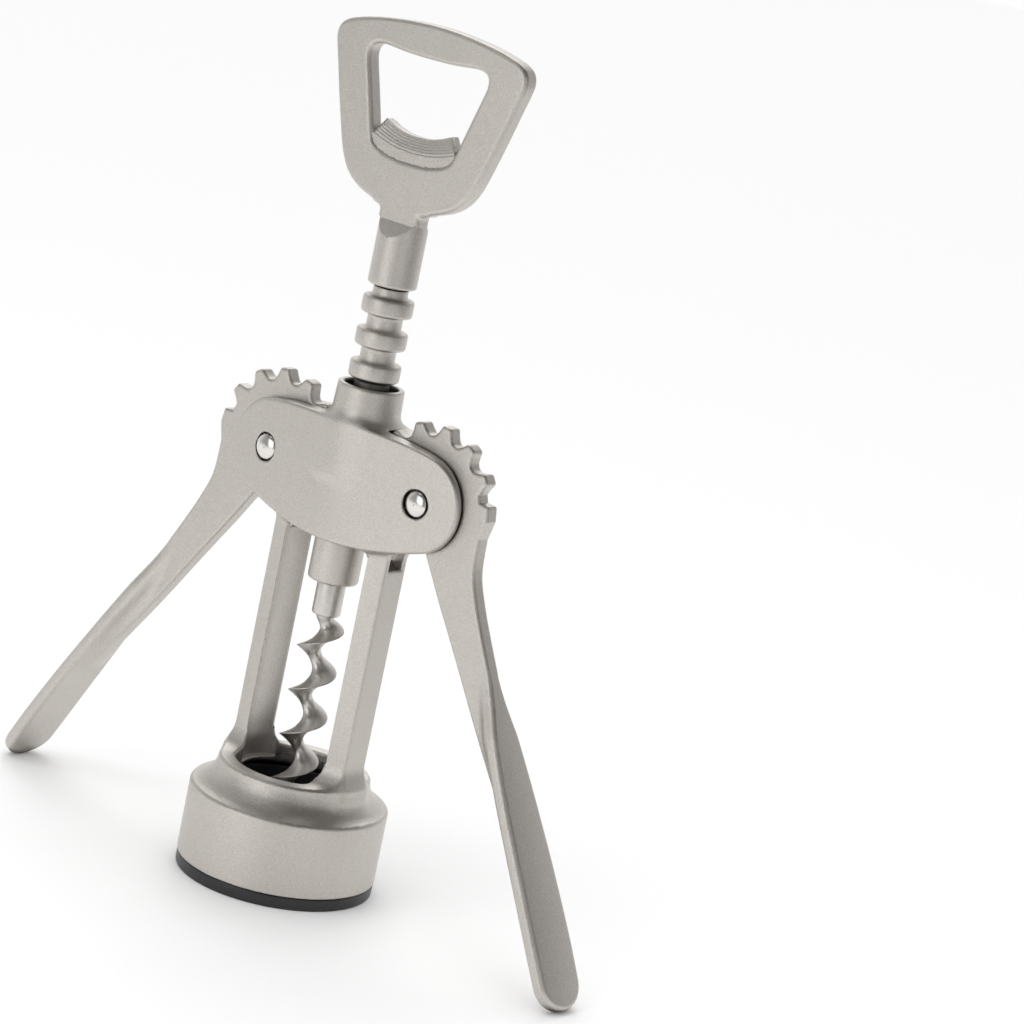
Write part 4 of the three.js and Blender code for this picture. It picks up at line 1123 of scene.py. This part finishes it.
def world_light():
    """White to the camera; to metal, pale behind the object and shaded in front and overhead."""
    world = bpy.data.worlds.new("studio")
    world.use_nodes = True
    tree = world.node_tree

    def add(kind, **values):
        node = tree.nodes.new(kind)
        for key, value in values.items():
            setattr(node, key, value)
        return node

    def ramp(source, output, spread, levels):
        node = add("ShaderNodeMapRange", interpolation_type="SMOOTHSTEP")
        node.inputs["From Min"].default_value, node.inputs["From Max"].default_value = spread
        node.inputs["To Min"].default_value, node.inputs["To Max"].default_value = levels
        tree.links.new(source.outputs[output], node.inputs["Value"])
        return node

    def switched(switch, output):
        node = add("ShaderNodeMix")
        tree.links.new(switch.outputs[output], node.inputs["Factor"])
        return node

    path = add("ShaderNodeLightPath")
    place = add("ShaderNodeTexCoord")
    parts = add("ShaderNodeSeparateXYZ")
    tree.links.new(place.outputs["Generated"], parts.inputs["Vector"])
    behind = add("ShaderNodeVectorMath", operation="DOT_PRODUCT")
    tree.links.new(place.outputs["Generated"], behind.inputs[0])
    behind.inputs[1].default_value = BACKDROP_DIRECTION
    depth = ramp(behind, "Value", BACKDROP_SPREAD, (STUDIO_SHADE, BACKDROP_SHADE))
    height = ramp(parts, "Z", CEILING_SPREAD, (1, CEILING_SHADE))
    shade = add("ShaderNodeMath", operation="MULTIPLY")
    tree.links.new(depth.outputs["Result"], shade.inputs[0])
    tree.links.new(height.outputs["Result"], shade.inputs[1])
    seen = add("ShaderNodeMath", operation="MAXIMUM")
    tree.links.new(path.outputs["Is Camera Ray"], seen.inputs[0])
    tree.links.new(path.outputs["Is Transmission Ray"], seen.inputs[1])
    light = switched(path, "Is Glossy Ray")
    light.inputs["A"].default_value = WORLD_LIGHT
    tree.links.new(shade.outputs["Value"], light.inputs["B"])
    strength = switched(seen, "Value")
    tree.links.new(light.outputs["Result"], strength.inputs["A"])
    strength.inputs["B"].default_value = 1
    background = tree.nodes["Background"]
    background.inputs["Color"].default_value = (1, 1, 1, 1)
    tree.links.new(strength.outputs["Result"], background.inputs["Strength"])
    bpy.context.scene.world = world


def sunlight(name, direction, angle, strength):
    """A wide sun that shines from a direction."""
    light = bpy.data.lights.new(name, "SUN")
    light.angle = math.radians(angle)
    light.energy = strength
    lamp = bpy.data.objects.new(name, light)
    bpy.context.scene.collection.objects.link(lamp)
    lamp.rotation_euler = Vector(direction).to_track_quat("Z", "Y").to_euler()


def softbox(name, place, size, radiance):
    """A soft rectangular lamp that faces the middle of the object."""
    light = bpy.data.lights.new(name, "AREA")
    light.shape = "RECTANGLE"
    light.size, light.size_y = (length * MM for length in size)
    light.energy = radiance * math.pi * light.size * light.size_y
    lamp = bpy.data.objects.new(name, light)
    bpy.context.scene.collection.objects.link(lamp)
    lamp.location = Vector(place) * MM
    towards = Vector((0, 0, AIM_HEIGHT)) * MM - lamp.location
    lamp.rotation_euler = towards.to_track_quat("-Z", "Y").to_euler()


def photo_camera():
    """The camera that was fitted to the photo."""
    azimuth = math.radians(CAMERA_AZIMUTH)
    elevation = math.radians(CAMERA_ELEVATION)
    roll = math.radians(CAMERA_ROLL)
    grain_and_shade_level = math.cos(elevation)
    back = Vector((math.sin(azimuth) * grain_and_shade_level, -math.cos(azimuth) * grain_and_shade_level, math.sin(elevation)))
    right = Vector((math.cos(azimuth), math.sin(azimuth), 0))
    up = back.cross(right)
    place = right * AIM_RIGHT + Vector((0, 0, AIM_HEIGHT)) + back * CAMERA_DISTANCE
    image_right = math.cos(roll) * right + math.sin(roll) * up
    image_up = math.cos(roll) * up - math.sin(roll) * right
    camera = bpy.data.cameras.new("photo_camera")
    camera.sensor_fit = "HORIZONTAL"
    camera.sensor_width = CAMERA_SENSOR
    camera.lens = CAMERA_LENS
    camera.clip_start = CAMERA_CLIP_START * MM
    holder = bpy.data.objects.new("photo_camera", camera)
    bpy.context.scene.collection.objects.link(holder)
    turn = Matrix((image_right, image_up, back)).transposed().to_4x4()
    holder.matrix_world = Matrix.Translation(place * MM) @ turn
    bpy.context.scene.camera = holder


bpy.context.scene.view_settings.view_transform = "Standard"
photo_camera()
paper_floor()
world_light()
softbox("front_softbox", place=(-80, -640, 200), size=(380, 380), radiance=1.65)
softbox("right_softbox", place=(560, -250, 180), size=(200, 380), radiance=0.9)
softbox("high_softbox", place=(-200, -420, 800), size=(260, 260), radiance=2)
sunlight("back_sun", direction=(-0.45, 0.5, 0.75), angle=40, strength=0.7)

nickel = metal(
    "satin_nickel", colour=(0.56, 0.53, 0.495), roughness=0.36,
    grain_scale=3200, grain_depth=0.8, speckle=0.16,
)
worm_metal = metal(
    "worm_nickel", colour=(0.6, 0.58, 0.55), roughness=0.36,
    grain_scale=1800, grain_depth=0.3, speckle=0.08,
)
rivet_metal = metal(
    "rivet_nickel", colour=(0.72, 0.70, 0.67), roughness=0.2,
    grain_scale=1500, grain_depth=0.15, speckle=0.05,
)

body_casting(nickel)
bottle_insert(black_plastic())
rack_sleeve(nickel)
levers(nickel)
rivets(rivet_metal)
worm(worm_metal)
shaft(worm_metal)
opener_handle(nickel)
cap_lip(nickel)
